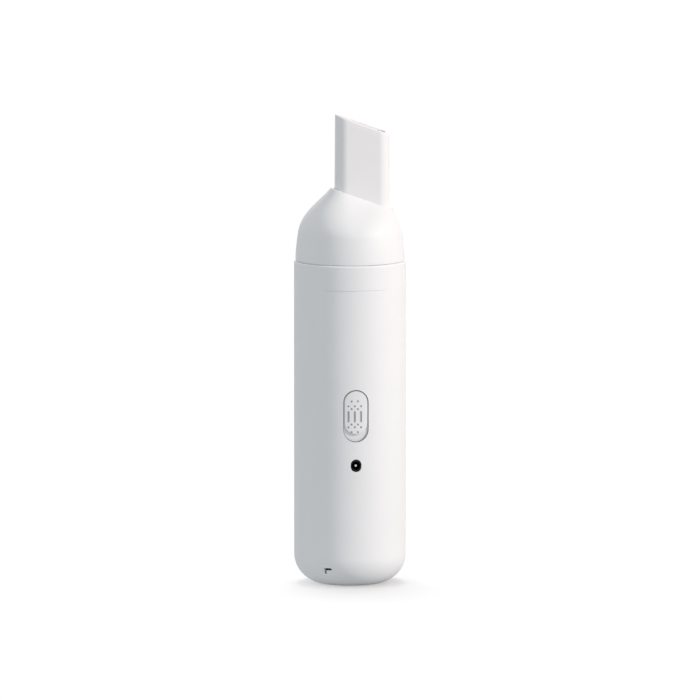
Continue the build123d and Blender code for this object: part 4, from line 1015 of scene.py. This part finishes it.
def grip_tree():
    """Geometry Nodes tree that sets the tool in rows on a round face."""
    tree, given = tree_with("grip rows", [
        ("Count", "Int"), ("Pitch", "Float"), ("Shift", "Float"), ("Height", "Float"), ("Radius", "Float"),
        ("Finish", "Material")])
    gaps = maths(tree, "SUBTRACT", given["Count"], 1)
    width = maths(tree, "MULTIPLY", gaps, given["Pitch"])
    start = maths(tree, "SUBTRACT", given["Shift"], maths(tree, "MULTIPLY", width, 0.5))
    line = node_in(tree, "GeometryNodeMeshLine", {
        "Count": given["Count"], "Start Location": vector(tree, X=start, Z=given["Height"]),
        "Offset": vector(tree, X=given["Pitch"])})

    across = maths(tree, "POWER", place_parts(tree)["X"], 2)
    whole = maths(tree, "POWER", given["Radius"], 2)
    reach = maths(tree, "SQRT", maths(tree, "SUBTRACT", whole, across))
    moved = node_in(tree, "GeometryNodeSetPosition", {
        "Geometry": line, "Offset": vector(tree, Y=maths(tree, "MULTIPLY", reach, -1))})
    copies = node_in(tree, "GeometryNodeInstanceOnPoints", {
        "Points": moved, "Instance": given["Geometry"]})
    return ended(tree, copies, given["Finish"])


GRIP = grip_tree()
tool_radius = (-slider_low.y + GRIP_BALL - GRIP_DEPTH) * MM
rows = [(0, 3, GRIP_BAR)]
rows += [(side * rise, count, 0) for rise, count in GRIP_ROWS for side in (-1, 1)]
for rise, count, stretch in rows:
    hollows = run_tree(ball_tool(stretch), GRIP, count=count, pitch=GRIP_PITCH * MM, shift=GRIP_SHIFT * MM,
                       height=(SLIDER_Z - GRIP_DROP + rise) * MM, radius=tool_radius, finish=GRIP_SHADE_GREY)
    combined(slider, hollows, "DIFFERENCE")


def slider_normal(spot):
    """Direction of the pad's round face at a spot, or None away from it."""
    across = hypot(spot.x, spot.y)
    if abs(across + slider_low.y) < 0.002:
        return Vector((spot.x, spot.y, 0)) / across
    return None


directed(slider, slider_normal)
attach(slider, "slider")
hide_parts("power_slider")
report(slider)

# %% [markdown]
# ## The dust cup
#
# The cup starts round at the seam and ends in a slanted oblong rim, well off the middle.
# On the real one this is a single free-flowing surface. Such a shape could be pushed and
# pulled by hand, but then it would fit neither the body nor the nozzle. So it is skinned
# through rings, and all of them are worked out from the sizes below.

# %% Sizes of the cup
def grown(size, by):
    """Width, depth and corner of an oblong whose edge has moved outwards."""
    width, depth, corner = size
    return width + 2 * by, depth + 2 * by, corner + by


CUP_RADIUS = cup_high.x
CUP_WALL = 1.8
SPIGOT_RADIUS = 22.92
SPIGOT_INNER = 21.42
SEAL_GROOVE = SPIGOT_RADIUS - 0.8
SHOULDER_Z = SEAM_Z + 12.0
SHOULDER_RADIUS = 23.3
SHOULDER_BULGE = 0.2
SEAM_GROOVE = 0.7
SEAM_GAP = 0.08
SEAM_EDGE = 0.5
RIM_Z = SEAM_Z + 27.8
RIM_TILT = 19.5
RIM_EDGE = 0.75
HOLE_EDGE = 0.25
ROOF_WALL = 2.6
TUBE_STEP = 0.1
SPIGOT_RISE = 2.0
SPIGOT_EDGE = 0.3
SOCKET_BOTTOM = SEAM_Z + 12.6
SHANK_BOTTOM = nozzle_low.z
SOCKET_WALL = 1.35
RUN = 0.08
SHANK = (nozzle_high.x - nozzle_low.x, nozzle_high.y - nozzle_low.y, 5.18)
DUCT = (21.4, 9.8, 3.6)
RIM = grown(SHANK, RUN + SOCKET_WALL)
DOME_LEVELS = (
    (0.0, 0.0, 0.0, 0.0),
    (0.30, 0.14, 0.25, 0.15),
    (0.62, 0.49, 0.52, 0.49),
    (1.0, 1.0, 1.0, 1.0),
)
QUARTER = 40
SIDE_STEPS, INNER_SIDE_STEPS = 8, 3
DOME_STEPS, INNER_DOME_STEPS = 40, 14
print("rim", [round(size, 2) for size in RIM])

# %% [markdown]
# ### Rings that match point by point
#
# A skin is only smooth if each point of a ring has its fellow right above it. So every
# ring starts at the right, runs the same way round, and has the same number of points in
# each quarter, whether it is a circle or an oblong.

# %% Rings for the cup and the nozzle
def oblong(middle_x, width, depth, corner, height):
    """Ring of points on a rounded oblong, spread evenly over each quarter. The height is
    a function of the place across."""
    half_x, half_y = width / 2, depth / 2
    flat_x, flat_y = half_x - corner, half_y - corner
    bend = corner * pi / 2
    quarter = flat_x + flat_y + bend
    points = []
    for k in range(4 * QUARTER):
        side, place = divmod(k, QUARTER)
        along = quarter * (place / QUARTER if side % 2 == 0 else 1 - place / QUARTER)
        if along < flat_y:
            x, y = half_x, along
        elif along < flat_y + bend:
            turn = (along - flat_y) / corner
            x, y = flat_x + corner * cos(turn), flat_y + corner * sin(turn)
        else:
            x, y = quarter - along, half_y
        x = middle_x + (x if side in (0, 3) else -x)
        points.append(Vector((x, y if side < 2 else -y, height(x))))
    return points


def circle(radius, z):
    """Ring of points on a circle about the body's axis."""
    return oblong(0, 2 * radius, 2 * radius, radius, lambda x: z)


def rim_height(drop):
    """Height of the slanted rim's plane at a place across, less a drop."""
    return lambda x: RIM_Z - drop - (x - NOZZLE_X) * tan(radians(RIM_TILT))


def through(values, spots, at):
    """Value at a place on the cubic curve through four known values."""
    total = values[0] * 0
    for k, value in enumerate(values):
        weight = 1.0
        for j, spot in enumerate(spots):
            if j != k:
                weight *= (at - spot) / (spots[k] - spot)
        total = total + value * weight
    return total


print("points in a ring:", len(circle(CUP_RADIUS, SEAM_Z)))

# %% [markdown]
# ### From round to oblong
#
# Four known rings set the dome's shape: the round shoulder, two rings on the way, and the
# oblong rim. A bridge from the first to the last would have straight sides, and a smoothed
# cage would lose the exact rim. Instead a cubic curve carries every point from ring to
# ring, which keeps the surface free of creases.

# %% Rings of the dome and the side
def dome_levels(shoulder, rim):
    """The four known rings of the dome, from the round shoulder to the oblong rim."""
    rise = RIM[0] / 2 * tan(radians(RIM_TILT))
    rim_left, rim_right = NOZZLE_X - rim[0] / 2, NOZZLE_X + rim[0] / 2
    share = rim[2] / (rim[1] / 2)
    levels = []
    for up, left, right, depth in DOME_LEVELS:
        x0 = -shoulder + (rim_left + shoulder) * left
        x1 = shoulder + (rim_right - shoulder) * right
        z0 = SHOULDER_Z + (RIM_Z + rise - rim[3] - SHOULDER_Z) * up
        z1 = SHOULDER_Z + (RIM_Z - rise - rim[3] - SHOULDER_Z) * up
        half = shoulder + (rim[1] / 2 - shoulder) * depth
        levels.append(oblong((x0 + x1) / 2, x1 - x0, 2 * half, half * (1 + (share - 1) * up),
                             lambda x, a=x0, b=x1, low=z0, high=z1: low + (high - low) * (x - a) / (b - a)))
    return levels


def dome_rings(shoulder, rim, steps):
    """Rings of the dome above the shoulder, up to its rim."""
    levels = dome_levels(shoulder, rim)
    reach = [0.0]
    for low, high in zip(levels, levels[1:]):
        reach.append(reach[-1] + sum((b - a).length for a, b in zip(low, high)) / len(low))
    rings = []
    for step in range(1, steps + 1):
        at = reach[-1] * step / steps
        rings.append([through(spots, reach, at) for spots in zip(*levels)])
    return rings


def side_rings(base, shoulder, start, steps):
    """Rings of the cup's side, which bows out a little between seam and shoulder."""
    rings = []
    for step in range(steps + 1):
        up = start + (SHOULDER_Z - start) * step / steps
        t = (up - SEAM_Z) / (SHOULDER_Z - SEAM_Z)
        rings.append(circle(base + (shoulder - base) * t + SHOULDER_BULGE * 4 * t * (1 - t), up))
    return rings


print("dome rings outside", DOME_STEPS, "and inside", INNER_DOME_STEPS)

# %% [markdown]
# ### One skin for the whole wall
#
# A Solidify modifier could give the shell a wall too, but one of the same thickness all
# over. Here the rings go on over the rim, down the nozzle's socket, and back down the
# inside to the spigot, so each stretch has its own thickness and its own soft edge.

# %% Skin the cup
def cup_rings():
    """Rings round the cup's whole wall: up its outside, over the rim, down the socket,
    out under it, down its inside and round the spigot."""
    outside = [circle(SPIGOT_RADIUS, SEAM_Z), circle(CUP_RADIUS - SEAM_GROOVE, SEAM_Z)]
    outside += [circle(CUP_RADIUS - SEAM_GROOVE, SEAM_Z + SEAM_GAP)]
    outside += [circle(CUP_RADIUS - inset, SEAM_Z + SEAM_GAP + rise)
                for rise, inset in quarter_round(SEAM_EDGE, 4)[:-1]]
    outside += side_rings(CUP_RADIUS, SHOULDER_RADIUS, SEAM_Z + SEAM_GAP + SEAM_EDGE, SIDE_STEPS)
    outside += dome_rings(SHOULDER_RADIUS, (*RIM, 0.0), DOME_STEPS)[:-1]
    hole = grown(SHANK, RUN)
    rim = [oblong(NOZZLE_X, *grown(RIM, -inset), rim_height(drop))
           for inset, drop in quarter_round(RIM_EDGE, 4)]
    rim += [oblong(NOZZLE_X, *grown(hole, flare), rim_height(drop))
            for drop, flare in quarter_round(HOLE_EDGE, 4)]
    tube = (RIM[0] - TUBE_STEP, RIM[1] - TUBE_STEP, RIM[2])
    socket = [oblong(NOZZLE_X, *size, lambda x, z=z: z)
              for size, z in ((hole, SHANK_BOTTOM), (DUCT, SHANK_BOTTOM), (DUCT, SOCKET_BOTTOM),
                              (tube, SOCKET_BOTTOM))]
    inner_shoulder = SHOULDER_RADIUS - CUP_WALL
    inside = dome_rings(inner_shoulder, (*tube, ROOF_WALL), INNER_DOME_STEPS)[::-1]
    inside += side_rings(SPIGOT_INNER, inner_shoulder, SEAM_Z + SPIGOT_RISE, INNER_SIDE_STEPS)[::-1]
    spigot = [circle(radius, z) for radius, z in (
        (SPIGOT_INNER, cup_low.z + SPIGOT_EDGE), (SPIGOT_INNER + SPIGOT_EDGE, cup_low.z),
        (SPIGOT_RADIUS - SPIGOT_EDGE, cup_low.z), (SPIGOT_RADIUS, cup_low.z + SPIGOT_EDGE),
        (SPIGOT_RADIUS, seal_low.z), (SEAL_GROOVE, seal_low.z),
        (SEAL_GROOVE, seal_high.z), (SPIGOT_RADIUS, seal_high.z))]
    return outside + rim + socket + inside + spigot


cup = tidied(new_piece("cup_shell", *skinned(cup_rings(), closed=True)))
cup.data.materials.append(WHITE_CUP)
softened(cup, 35)
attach(cup, "cup")
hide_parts("dust_cup")
report(cup)

# %% [markdown]
# ### The seal round the spigot
#
# A rubber ring closes the joint between cup and sleeve. Its outside has two low lips,
# as such rings have, and it is turned from its profile.

# %% Turn the ring
SEAL_BODY_DROP = 0.25
SEAL_LIP_DROP = 0.1
SEAL_LIP_SHARE = 0.7


def seal_profile():
    """Closed profile of the ring, with two lips on its outside."""
    inner, outer = SEAL_GROOVE, seal_high.x
    low, high = seal_low.z, seal_high.z
    quarter = (high - low) / 4
    reach = quarter * SEAL_LIP_SHARE
    body, lip = outer - SEAL_BODY_DROP, outer - SEAL_LIP_DROP
    profile = [(inner, low), (body, low)]
    for middle in (low + quarter, high - quarter):
        profile += [(lip, middle - reach), (outer, middle), (lip, middle + reach)]
    profile += [(body, high), (inner, high), (inner, low)]
    return profile


seal = softened(turned("seal_ring", seal_profile(), RUBBER, sides=160), 50)
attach(seal, "cup")
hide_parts("cup_seal")
report(seal)

# %% [markdown]
# ## The nozzle
#
# The nozzle is a flat tube that narrows a little towards its slanted mouth. Its wall is
# one closed skin: up the outside, over the soft lip, and down the duct inside.

# %% Skin the nozzle
NOZZLE_TIP_Z = 206.15
MOUTH_TILT = 20.0
NOZZLE_DRAFT = 0.35
OUTER_LIP = 0.8
INNER_LIP = 0.4


def nozzle_rings():
    """Rings of the nozzle's wall, from its lower end up outside and down inside."""
    slope = tan(radians(MOUTH_TILT))
    draft = tan(radians(NOZZLE_DRAFT))
    foot_round = 0.25

    def outer(inset, height):
        ring = oblong(NOZZLE_X, *grown(SHANK, -inset), height)
        for point in ring:
            narrow = draft * (point.z - SHANK_BOTTOM)
            point.x = NOZZLE_X + (point.x - NOZZLE_X) * (1 - 2 * narrow / SHANK[0])
            point.y *= 1 - 2 * narrow / SHANK[1]
        return ring

    def mouth(drop):
        return lambda x: NOZZLE_TIP_Z - drop - (x - NOZZLE_X) * slope

    def between(share):
        start = SHANK_BOTTOM + foot_round
        return lambda x: start + (mouth(OUTER_LIP)(x) - start) * share

    rings = [outer(foot_round, lambda x: SHANK_BOTTOM),
             outer(foot_round * 0.3, lambda x: SHANK_BOTTOM + foot_round * 0.3)]
    rings += [outer(0, between(k / 20)) for k in range(21)]
    rings += [outer(inset, mouth(drop)) for inset, drop in quarter_round(OUTER_LIP, 6)[1:]]
    rings += [oblong(NOZZLE_X, *grown(DUCT, flare), mouth(drop))
              for drop, flare in quarter_round(INNER_LIP, 6)]
    rings += [oblong(NOZZLE_X, *DUCT, between(1 - k / 6)) for k in range(1, 6)]
    rings.append(oblong(NOZZLE_X, *DUCT, lambda x: SHANK_BOTTOM))
    return rings


nozzle = tidied(new_piece("nozzle_tube", *skinned(nozzle_rings(), closed=True)))
nozzle.data.materials.append(WHITE_NOZZLE)
softened(nozzle, 35)
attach(nozzle, "nozzle")
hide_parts("nozzle")
report(nozzle)

# %% [markdown]
# ## The filter's screen
#
# A disc of woven wire lies over the pleats. Two families of wires cross, each wavy, and
# each goes over and under its neighbours in turn. The tree draws parallel lines over the
# disc, lets them wave, and runs a thin round profile along them. The second family is the
# first one turned by a quarter and waving the other way.

# %% Weave the screen
WIRE = 0.16
WEAVE_PITCH = 1.0
WIRE_SIDES = 5
WIRE_STEPS = 4
WIRE_LIFT = 0.55
HEM_RADIUS = 0.25


def weave_tree():
    """Geometry Nodes tree that turns the points of a line into woven wires on a disc."""
    tree, given = tree_with("wire weave", [
        ("Radius", "Float"), ("Pitch", "Float"), ("Wire", "Float"), ("Height", "Float"),
        ("Count", "Int"), ("Steps", "Int"), ("Finish", "Material")])
    radius, pitch, wire = given["Radius"], given["Pitch"], given["Wire"]
    gaps = maths(tree, "SUBTRACT", given["Count"], 1)
    grid = node_in(tree, "GeometryNodeMeshGrid", {
        "Size X": maths(tree, "MULTIPLY", gaps, pitch), "Size Y": maths(tree, "MULTIPLY", radius, 2),
        "Vertices X": given["Count"], "Vertices Y": given["Steps"]})

    # Only the grid's edges along Y stay, so each column becomes a wire of its own
    ends = node_in(tree, "GeometryNodeInputMeshEdgeVertices").outputs
    gap = node_in(tree, "ShaderNodeVectorMath", {0: ends["Position 1"], 1: ends["Position 2"]},
                  operation="SUBTRACT")
    gap_x = node_in(tree, "ShaderNodeSeparateXYZ", {0: gap}).outputs["X"]
    sideways = maths(tree, "GREATER_THAN", maths(tree, "ABSOLUTE", gap_x),
                     maths(tree, "MULTIPLY", pitch, 0.5))
    columns = node_in(tree, "GeometryNodeDeleteGeometry", {"Geometry": grid, "Selection": sideways},
                      domain="EDGE", mode="EDGE_FACE")

    # Each column is drawn in to the disc's edge, and then waves over and under
    place = place_parts(tree)
    chord = maths(tree, "SQRT", maths(tree, "SUBTRACT", maths(tree, "POWER", radius, 2),
                                      maths(tree, "POWER", place["X"], 2)))
    along = maths(tree, "MULTIPLY", place["Y"], maths(tree, "DIVIDE", chord, radius))
    column = maths(tree, "ROUND", maths(tree, "DIVIDE", place["X"], pitch))
    turns = maths(tree, "ADD", maths(tree, "DIVIDE", along, pitch), column)
    wave = maths(tree, "COSINE", maths(tree, "MULTIPLY", turns, pi))
    lift = maths(tree, "MULTIPLY", wave, maths(tree, "MULTIPLY", wire, WIRE_LIFT))
    waved = node_in(tree, "GeometryNodeSetPosition", {
        "Geometry": columns, "Position": vector(tree, X=place["X"], Y=along, Z=lift)})
    profile = node_in(tree, "GeometryNodeCurvePrimitiveCircle", {
        "Resolution": WIRE_SIDES, "Radius": maths(tree, "MULTIPLY", wire, 0.5)})
    wires = node_in(tree, "GeometryNodeCurveToMesh", {
        "Curve": node_in(tree, "GeometryNodeMeshToCurve", {"Mesh": waved}),
        "Profile Curve": profile, "Fill Caps": True})

    # The second family lies across the first and waves against it
    crossed = node_in(tree, "GeometryNodeTransform", {"Geometry": wires, "Rotation": (pi, 0, pi / 2)})
    both = node_in(tree, "GeometryNodeJoinGeometry", {0: wires})
    fill(tree, both, {0: crossed})
    lifted = node_in(tree, "GeometryNodeTransform", {
        "Geometry": both, "Translation": vector(tree, Z=given["Height"])})
    return ended(tree, lifted, given["Finish"])


def gathered(name, pieces):
    """One piece that holds the meshes of several, which are used up."""
    work = bmesh.new()
    slots = []
    for piece in pieces:
        shift = len(slots)
        start = len(work.faces)
        work.from_mesh(piece.data)
        work.faces.ensure_lookup_table()
        for face in work.faces[start:]:
            face.material_index += shift
        slots += list(piece.data.materials)
    mesh = bpy.data.meshes.new(name)
    work.to_mesh(mesh)
    work.free()
    for material in slots:
        mesh.materials.append(material)
    whole = bpy.data.objects.new(name, mesh)
    bpy.context.scene.collection.objects.link(whole)
    for piece in pieces:
        bpy.data.objects.remove(piece)
    return whole


def filter_screen():
    """Woven disc with the rolled wire that hems it."""
    reach = mesh_high.x - WIRE
    count = 2 * int((reach - WEAVE_PITCH / 2) / WEAVE_PITCH) + 1
    middle = (mesh_low.z + mesh_high.z) / 2
    start = new_piece("screen_start", [], [])
    weave = run_tree(start, weave_tree(), radius=reach * MM, pitch=WEAVE_PITCH * MM, wire=WIRE * MM,
                     height=middle * MM, count=count, steps=WIRE_STEPS * count + 1, finish=MESH_STEEL)
    round_wire = arc(mesh_high.x - HEM_RADIUS, middle, HEM_RADIUS, 0, 360, 8)
    hem = turned("screen_hem", round_wire, MESH_STEEL, sides=128)
    return softened(gathered("filter_screen", [weave, hem]), 80)


screen = filter_screen()
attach(screen, "filter")
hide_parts("filter_mesh")
report(screen)

# %% [markdown]
# ## Foam pads
#
# Two foam pieces sit inside: a curved mat behind the exhaust slots, and a small pad under
# the battery. Foam is cut, not moulded, and its cut edges give way, so each is made again
# from a copy of its CAD piece with softly rounded edges. A CAD piece's mesh is loose
# triangles, so the copy is merged and its flat faces are joined before the bevel.

# %% Soft copies of the pads
PAD_EDGE = 0.3


def soft_copy(node, name, material):
    """Copy of a CAD piece with its edges rounded, for something soft."""
    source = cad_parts[node]
    piece = bpy.data.objects.new(name, source.data.copy())
    bpy.context.scene.collection.objects.link(piece)
    piece.data.attributes.remove(piece.data.attributes["custom_normal"])
    work = bmesh.new()
    work.from_mesh(piece.data)
    bmesh.ops.remove_doubles(work, verts=work.verts, dist=MERGE * MM)
    bmesh.ops.dissolve_limit(work, angle_limit=radians(1), verts=work.verts, edges=work.edges)
    work.to_mesh(piece.data)
    work.free()
    edge = piece.modifiers.new("rounded", "BEVEL")
    edge.width = PAD_EDGE * MM
    edge.segments = 4
    edge.angle_limit = radians(50)
    flattened(piece)
    piece.data.materials.clear()
    piece.data.materials.append(material)
    return softened(piece, 60)


for node, body in (("exhaust_foam", "housing"), ("battery_pad", "housing")):
    pad = soft_copy(node, node + "_soft", FOAM)
    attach(pad, body)
    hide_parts(node)
    report(pad)

# %% [markdown]
# ## Finishes for the working pieces
#
# The other CAD pieces already have the right shape. Each gets its finish by name: its
# material slots are pointed at one of the materials above.

# %% Hand out the finishes
FINISHES = (
    (INNER_GREY, "battery_cradle motor_frame motor_deck fan_shroud slider_retainer filter_frame"),
    (BLACK, "switch_housing end_cap switch_lever"),
    (CHIP_BLACK, "board_parts"),
    (RUBBER, "motor_damper filter_seal"),
    (WIRE_RED, "battery_leads motor_leads"),
    (CELL_WRAP, "battery_cell"),
    (BOARD_GREEN, "control_board"),
    (MAGNET, "motor_magnets"),
    (CARBON, "motor_brushes"),
    (STEEL, "motor_can rotor_shaft"),
    (SCREW_STEEL, "base_screws cradle_screws board_screws motor_screws tower_screws"),
    (NICKEL, "battery_tabs motor_terminals"),
    (BRASS, "front_bush rear_bush impeller_hub"),
    (COPPER, "rotor_windings commutator"),
    (CORE_STEEL, "rotor_core"),
    (FAN_GREY, "impeller"),
    (PAPER, "filter_pleats"))

dressed = 0
for material, names in FINISHES:
    for name in names.split():
        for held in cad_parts[name].material_slots:
            held.material = material
        dressed += 1
print("CAD pieces with a finish:", dressed)

# %% [markdown]
# ## Floor, light and camera
#
# From here on, sizes are in metres. The cleaner stands on a wide pale floor in soft
# light. A lamp at the right gives the body its bright side, and an even sky fills the
# left. To the camera, the sky and the open floor are plain white, yet the floor keeps the
# shadow: for the rays that are seen it is a darker shade that glows, and the glow is added
# to the light that really falls on it.

# %% Floor
FLOOR_RADIUS = 12.0
FLOOR_SIDES = 96
FLOOR_WHITE = 0.93
FLOOR_SEEN = 0.62
FLOOR_GLOW = 0.49
FLOOR_GLOW_COLOUR = (1.0, 0.97, 0.95)


def seen_rays(tree):
    """One for the rays that show a surface: from the camera, in a mirror or in glass."""
    path = node_in(tree, "ShaderNodeLightPath").outputs
    shown = maths(tree, "MAXIMUM", path["Is Camera Ray"], path["Is Glossy Ray"])
    return maths(tree, "MAXIMUM", shown, path["Is Transmission Ray"])


def floor_finish():
    """Matt pale material that is darker and glows for the rays that are seen."""
    material = bpy.data.materials.new("floor")
    material.use_nodes = True
    tree = material.node_tree
    seen = seen_rays(tree)
    darker = maths(tree, "MULTIPLY", seen, FLOOR_SEEN - FLOOR_WHITE)
    fill(tree, tree.nodes["Principled BSDF"], {
        "Base Color": maths(tree, "ADD", darker, FLOOR_WHITE),
        "Roughness": 0.9,
        "Specular IOR Level": 0.1,
        "Emission Color": (*FLOOR_GLOW_COLOUR, 1),
        "Emission Strength": maths(tree, "MULTIPLY", seen, FLOOR_GLOW)})
    return material


turns = [2 * pi * k / FLOOR_SIDES for k in range(FLOOR_SIDES)]
rim = [(FLOOR_RADIUS * cos(a), FLOOR_RADIUS * sin(a), 0) for a in turns]
floor_mesh = bpy.data.meshes.new("floor")
floor_mesh.from_pydata(rim, [], [tuple(range(len(rim)))])
floor = bpy.data.objects.new("floor", floor_mesh)
floor.data.materials.append(floor_finish())
bpy.context.scene.collection.objects.link(floor)
print("floor radius in m:", FLOOR_RADIUS)

# %% [markdown]
# ### An even sky with one dimmer side
#
# A white thing on white loses its outline where it is lit from all sides. Photographers
# stand a grey card just out of view for that. Here the sky is a little dimmer towards the
# back right, so that the body's bright side ends in a readable edge.

# %% Sky
AIM = Vector((0, 0, 104.66)) * MM
SKY_COLOUR = (0.610, 0.637, 0.658)
CARD_COLOUR = (0.10, 0.105, 0.11)
CARD_AZIMUTH = 129.0
CARD_ELEVATION = 5.0
CARD_EDGES = (0.15, 0.85)


def direction(azimuth, elevation):
    """Unit vector from the object towards a place round it. Azimuth 0 is in front."""
    a, e = radians(azimuth), radians(elevation)
    return Vector((sin(a) * cos(e), -cos(a) * cos(e), sin(e)))


def sky_world():
    """World that lights the object softly and shows white."""
    sky = bpy.data.worlds.new("sky")
    sky.use_nodes = True
    tree = sky.node_tree
    tree.nodes.clear()
    towards = node_in(tree, "ShaderNodeTexCoord").outputs["Generated"]
    facing = node_in(tree, "ShaderNodeVectorMath", {
        0: towards, 1: direction(CARD_AZIMUTH, CARD_ELEVATION)}, operation="DOT_PRODUCT")
    card = node_in(tree, "ShaderNodeMapRange", {
        "Value": facing.outputs["Value"], "From Min": CARD_EDGES[0], "From Max": CARD_EDGES[1]},
        interpolation_type="SMOOTHSTEP")
    blend = node_in(tree, "ShaderNodeMix", {
        0: card, 6: (*SKY_COLOUR, 1), 7: (*CARD_COLOUR, 1)}, data_type="RGBA")
    light = node_in(tree, "ShaderNodeBackground", {"Color": blend.outputs[2]})
    white = node_in(tree, "ShaderNodeBackground", {"Color": (1, 1, 1, 1)})
    choice = node_in(tree, "ShaderNodeMixShader", {0: seen_rays(tree), 1: light, 2: white})
    node_in(tree, "ShaderNodeOutputWorld", {"Surface": choice})
    return sky


bpy.context.scene.world = sky_world()
bpy.context.scene.view_settings.view_transform = "Standard"
print("sky colour", SKY_COLOUR)

# %% [markdown]
# ### Three lamps
#
# A round key lamp stands at the right, somewhat above the object. It is small enough to
# draw a clear edge between light and shade on the body. A weaker lamp behind the object
# gives the back its shape, and no side that is seen from the front takes its light. Light
# linking keeps both off the floor. The third lamp hangs high above the back, wide and
# soft, and lights the floor alone, so that the base gets a soft shadow in front of it. It
# counts only where it falls on the floor directly, and what the floor throws back onto
# the body stays even.

# %% Lamps
LAMP_DISTANCE = 1.5
KEY_LAMP = {"azimuth": 61.8, "elevation": 24.0, "size": 0.3, "power": 15.2, "colour": (1.0, 0.905, 0.868)}
BACK_LAMP = {"azimuth": 176.0, "elevation": 24.0, "size": 0.5, "power": 7.0, "colour": (1.0, 0.98, 0.96)}
TOP_AZIMUTH = 178.0
TOP_ELEVATION = 78.0
TOP_SPREAD = 24.0
TOP_STRENGTH = 1.1


def aimed(thing, azimuth, elevation, distance):
    """A lamp or camera set at a distance from the object and turned towards it."""
    back = direction(azimuth, elevation)
    thing.location = AIM + back * distance
    thing.rotation_euler = back.to_track_quat("Z", "Y").to_euler()
    bpy.context.scene.collection.objects.link(thing)
    return thing


def floor_group(name, state):
    """Collection that gives a lamp the floor alone, or everything but the floor."""
    group = bpy.data.collections.new(name)
    group.objects.link(floor)
    group.collection_objects[0].light_linking.link_state = state
    return group


def round_lamp(name, azimuth, elevation, size, power, colour):
    """Round soft lamp that lights everything but the floor."""
    light = bpy.data.lights.new(name, "AREA")
    light.shape = "DISK"
    light.size = size
    light.energy = power
    light.color = colour
    lamp = aimed(bpy.data.objects.new(name, light), azimuth, elevation, LAMP_DISTANCE)
    lamp.light_linking.receiver_collection = not_floor
    return lamp


not_floor = floor_group("all but the floor", "EXCLUDE")
round_lamp("key_lamp", **KEY_LAMP)
round_lamp("back_lamp", **BACK_LAMP)

top_light = bpy.data.lights.new("top_lamp", "SUN")
top_light.angle = radians(TOP_SPREAD)
top_light.energy = TOP_STRENGTH
top_light.cycles.max_bounces = 0
top_lamp = aimed(bpy.data.objects.new("top_lamp", top_light), TOP_AZIMUTH, TOP_ELEVATION, LAMP_DISTANCE)
top_lamp.light_linking.receiver_collection = floor_group("floor alone", "INCLUDE")
print("key lamp at azimuth", KEY_LAMP["azimuth"], "and", KEY_LAMP["power"], "W")

# %% [markdown]
# ### The camera
#
# Things like this are shown from far away through a long lens, so that upright edges stay
# parallel. The camera stands a little left of the front and a little above the middle,
# where the switch, the socket and the slanted mouth all read well.

# %% Camera
CAMERA_AZIMUTH = -6.2
CAMERA_ELEVATION = 6.9
CAMERA_DISTANCE = 5.208
CAMERA_LENS = 600.0

lens = bpy.data.cameras.new("camera")
lens.lens = CAMERA_LENS
lens.sensor_width = 36.0
lens.clip_end = 100.0
camera = aimed(bpy.data.objects.new("camera", lens), CAMERA_AZIMUTH, CAMERA_ELEVATION, CAMERA_DISTANCE)
bpy.context.scene.camera = camera
print("camera at", [round(v, 3) for v in camera.location])
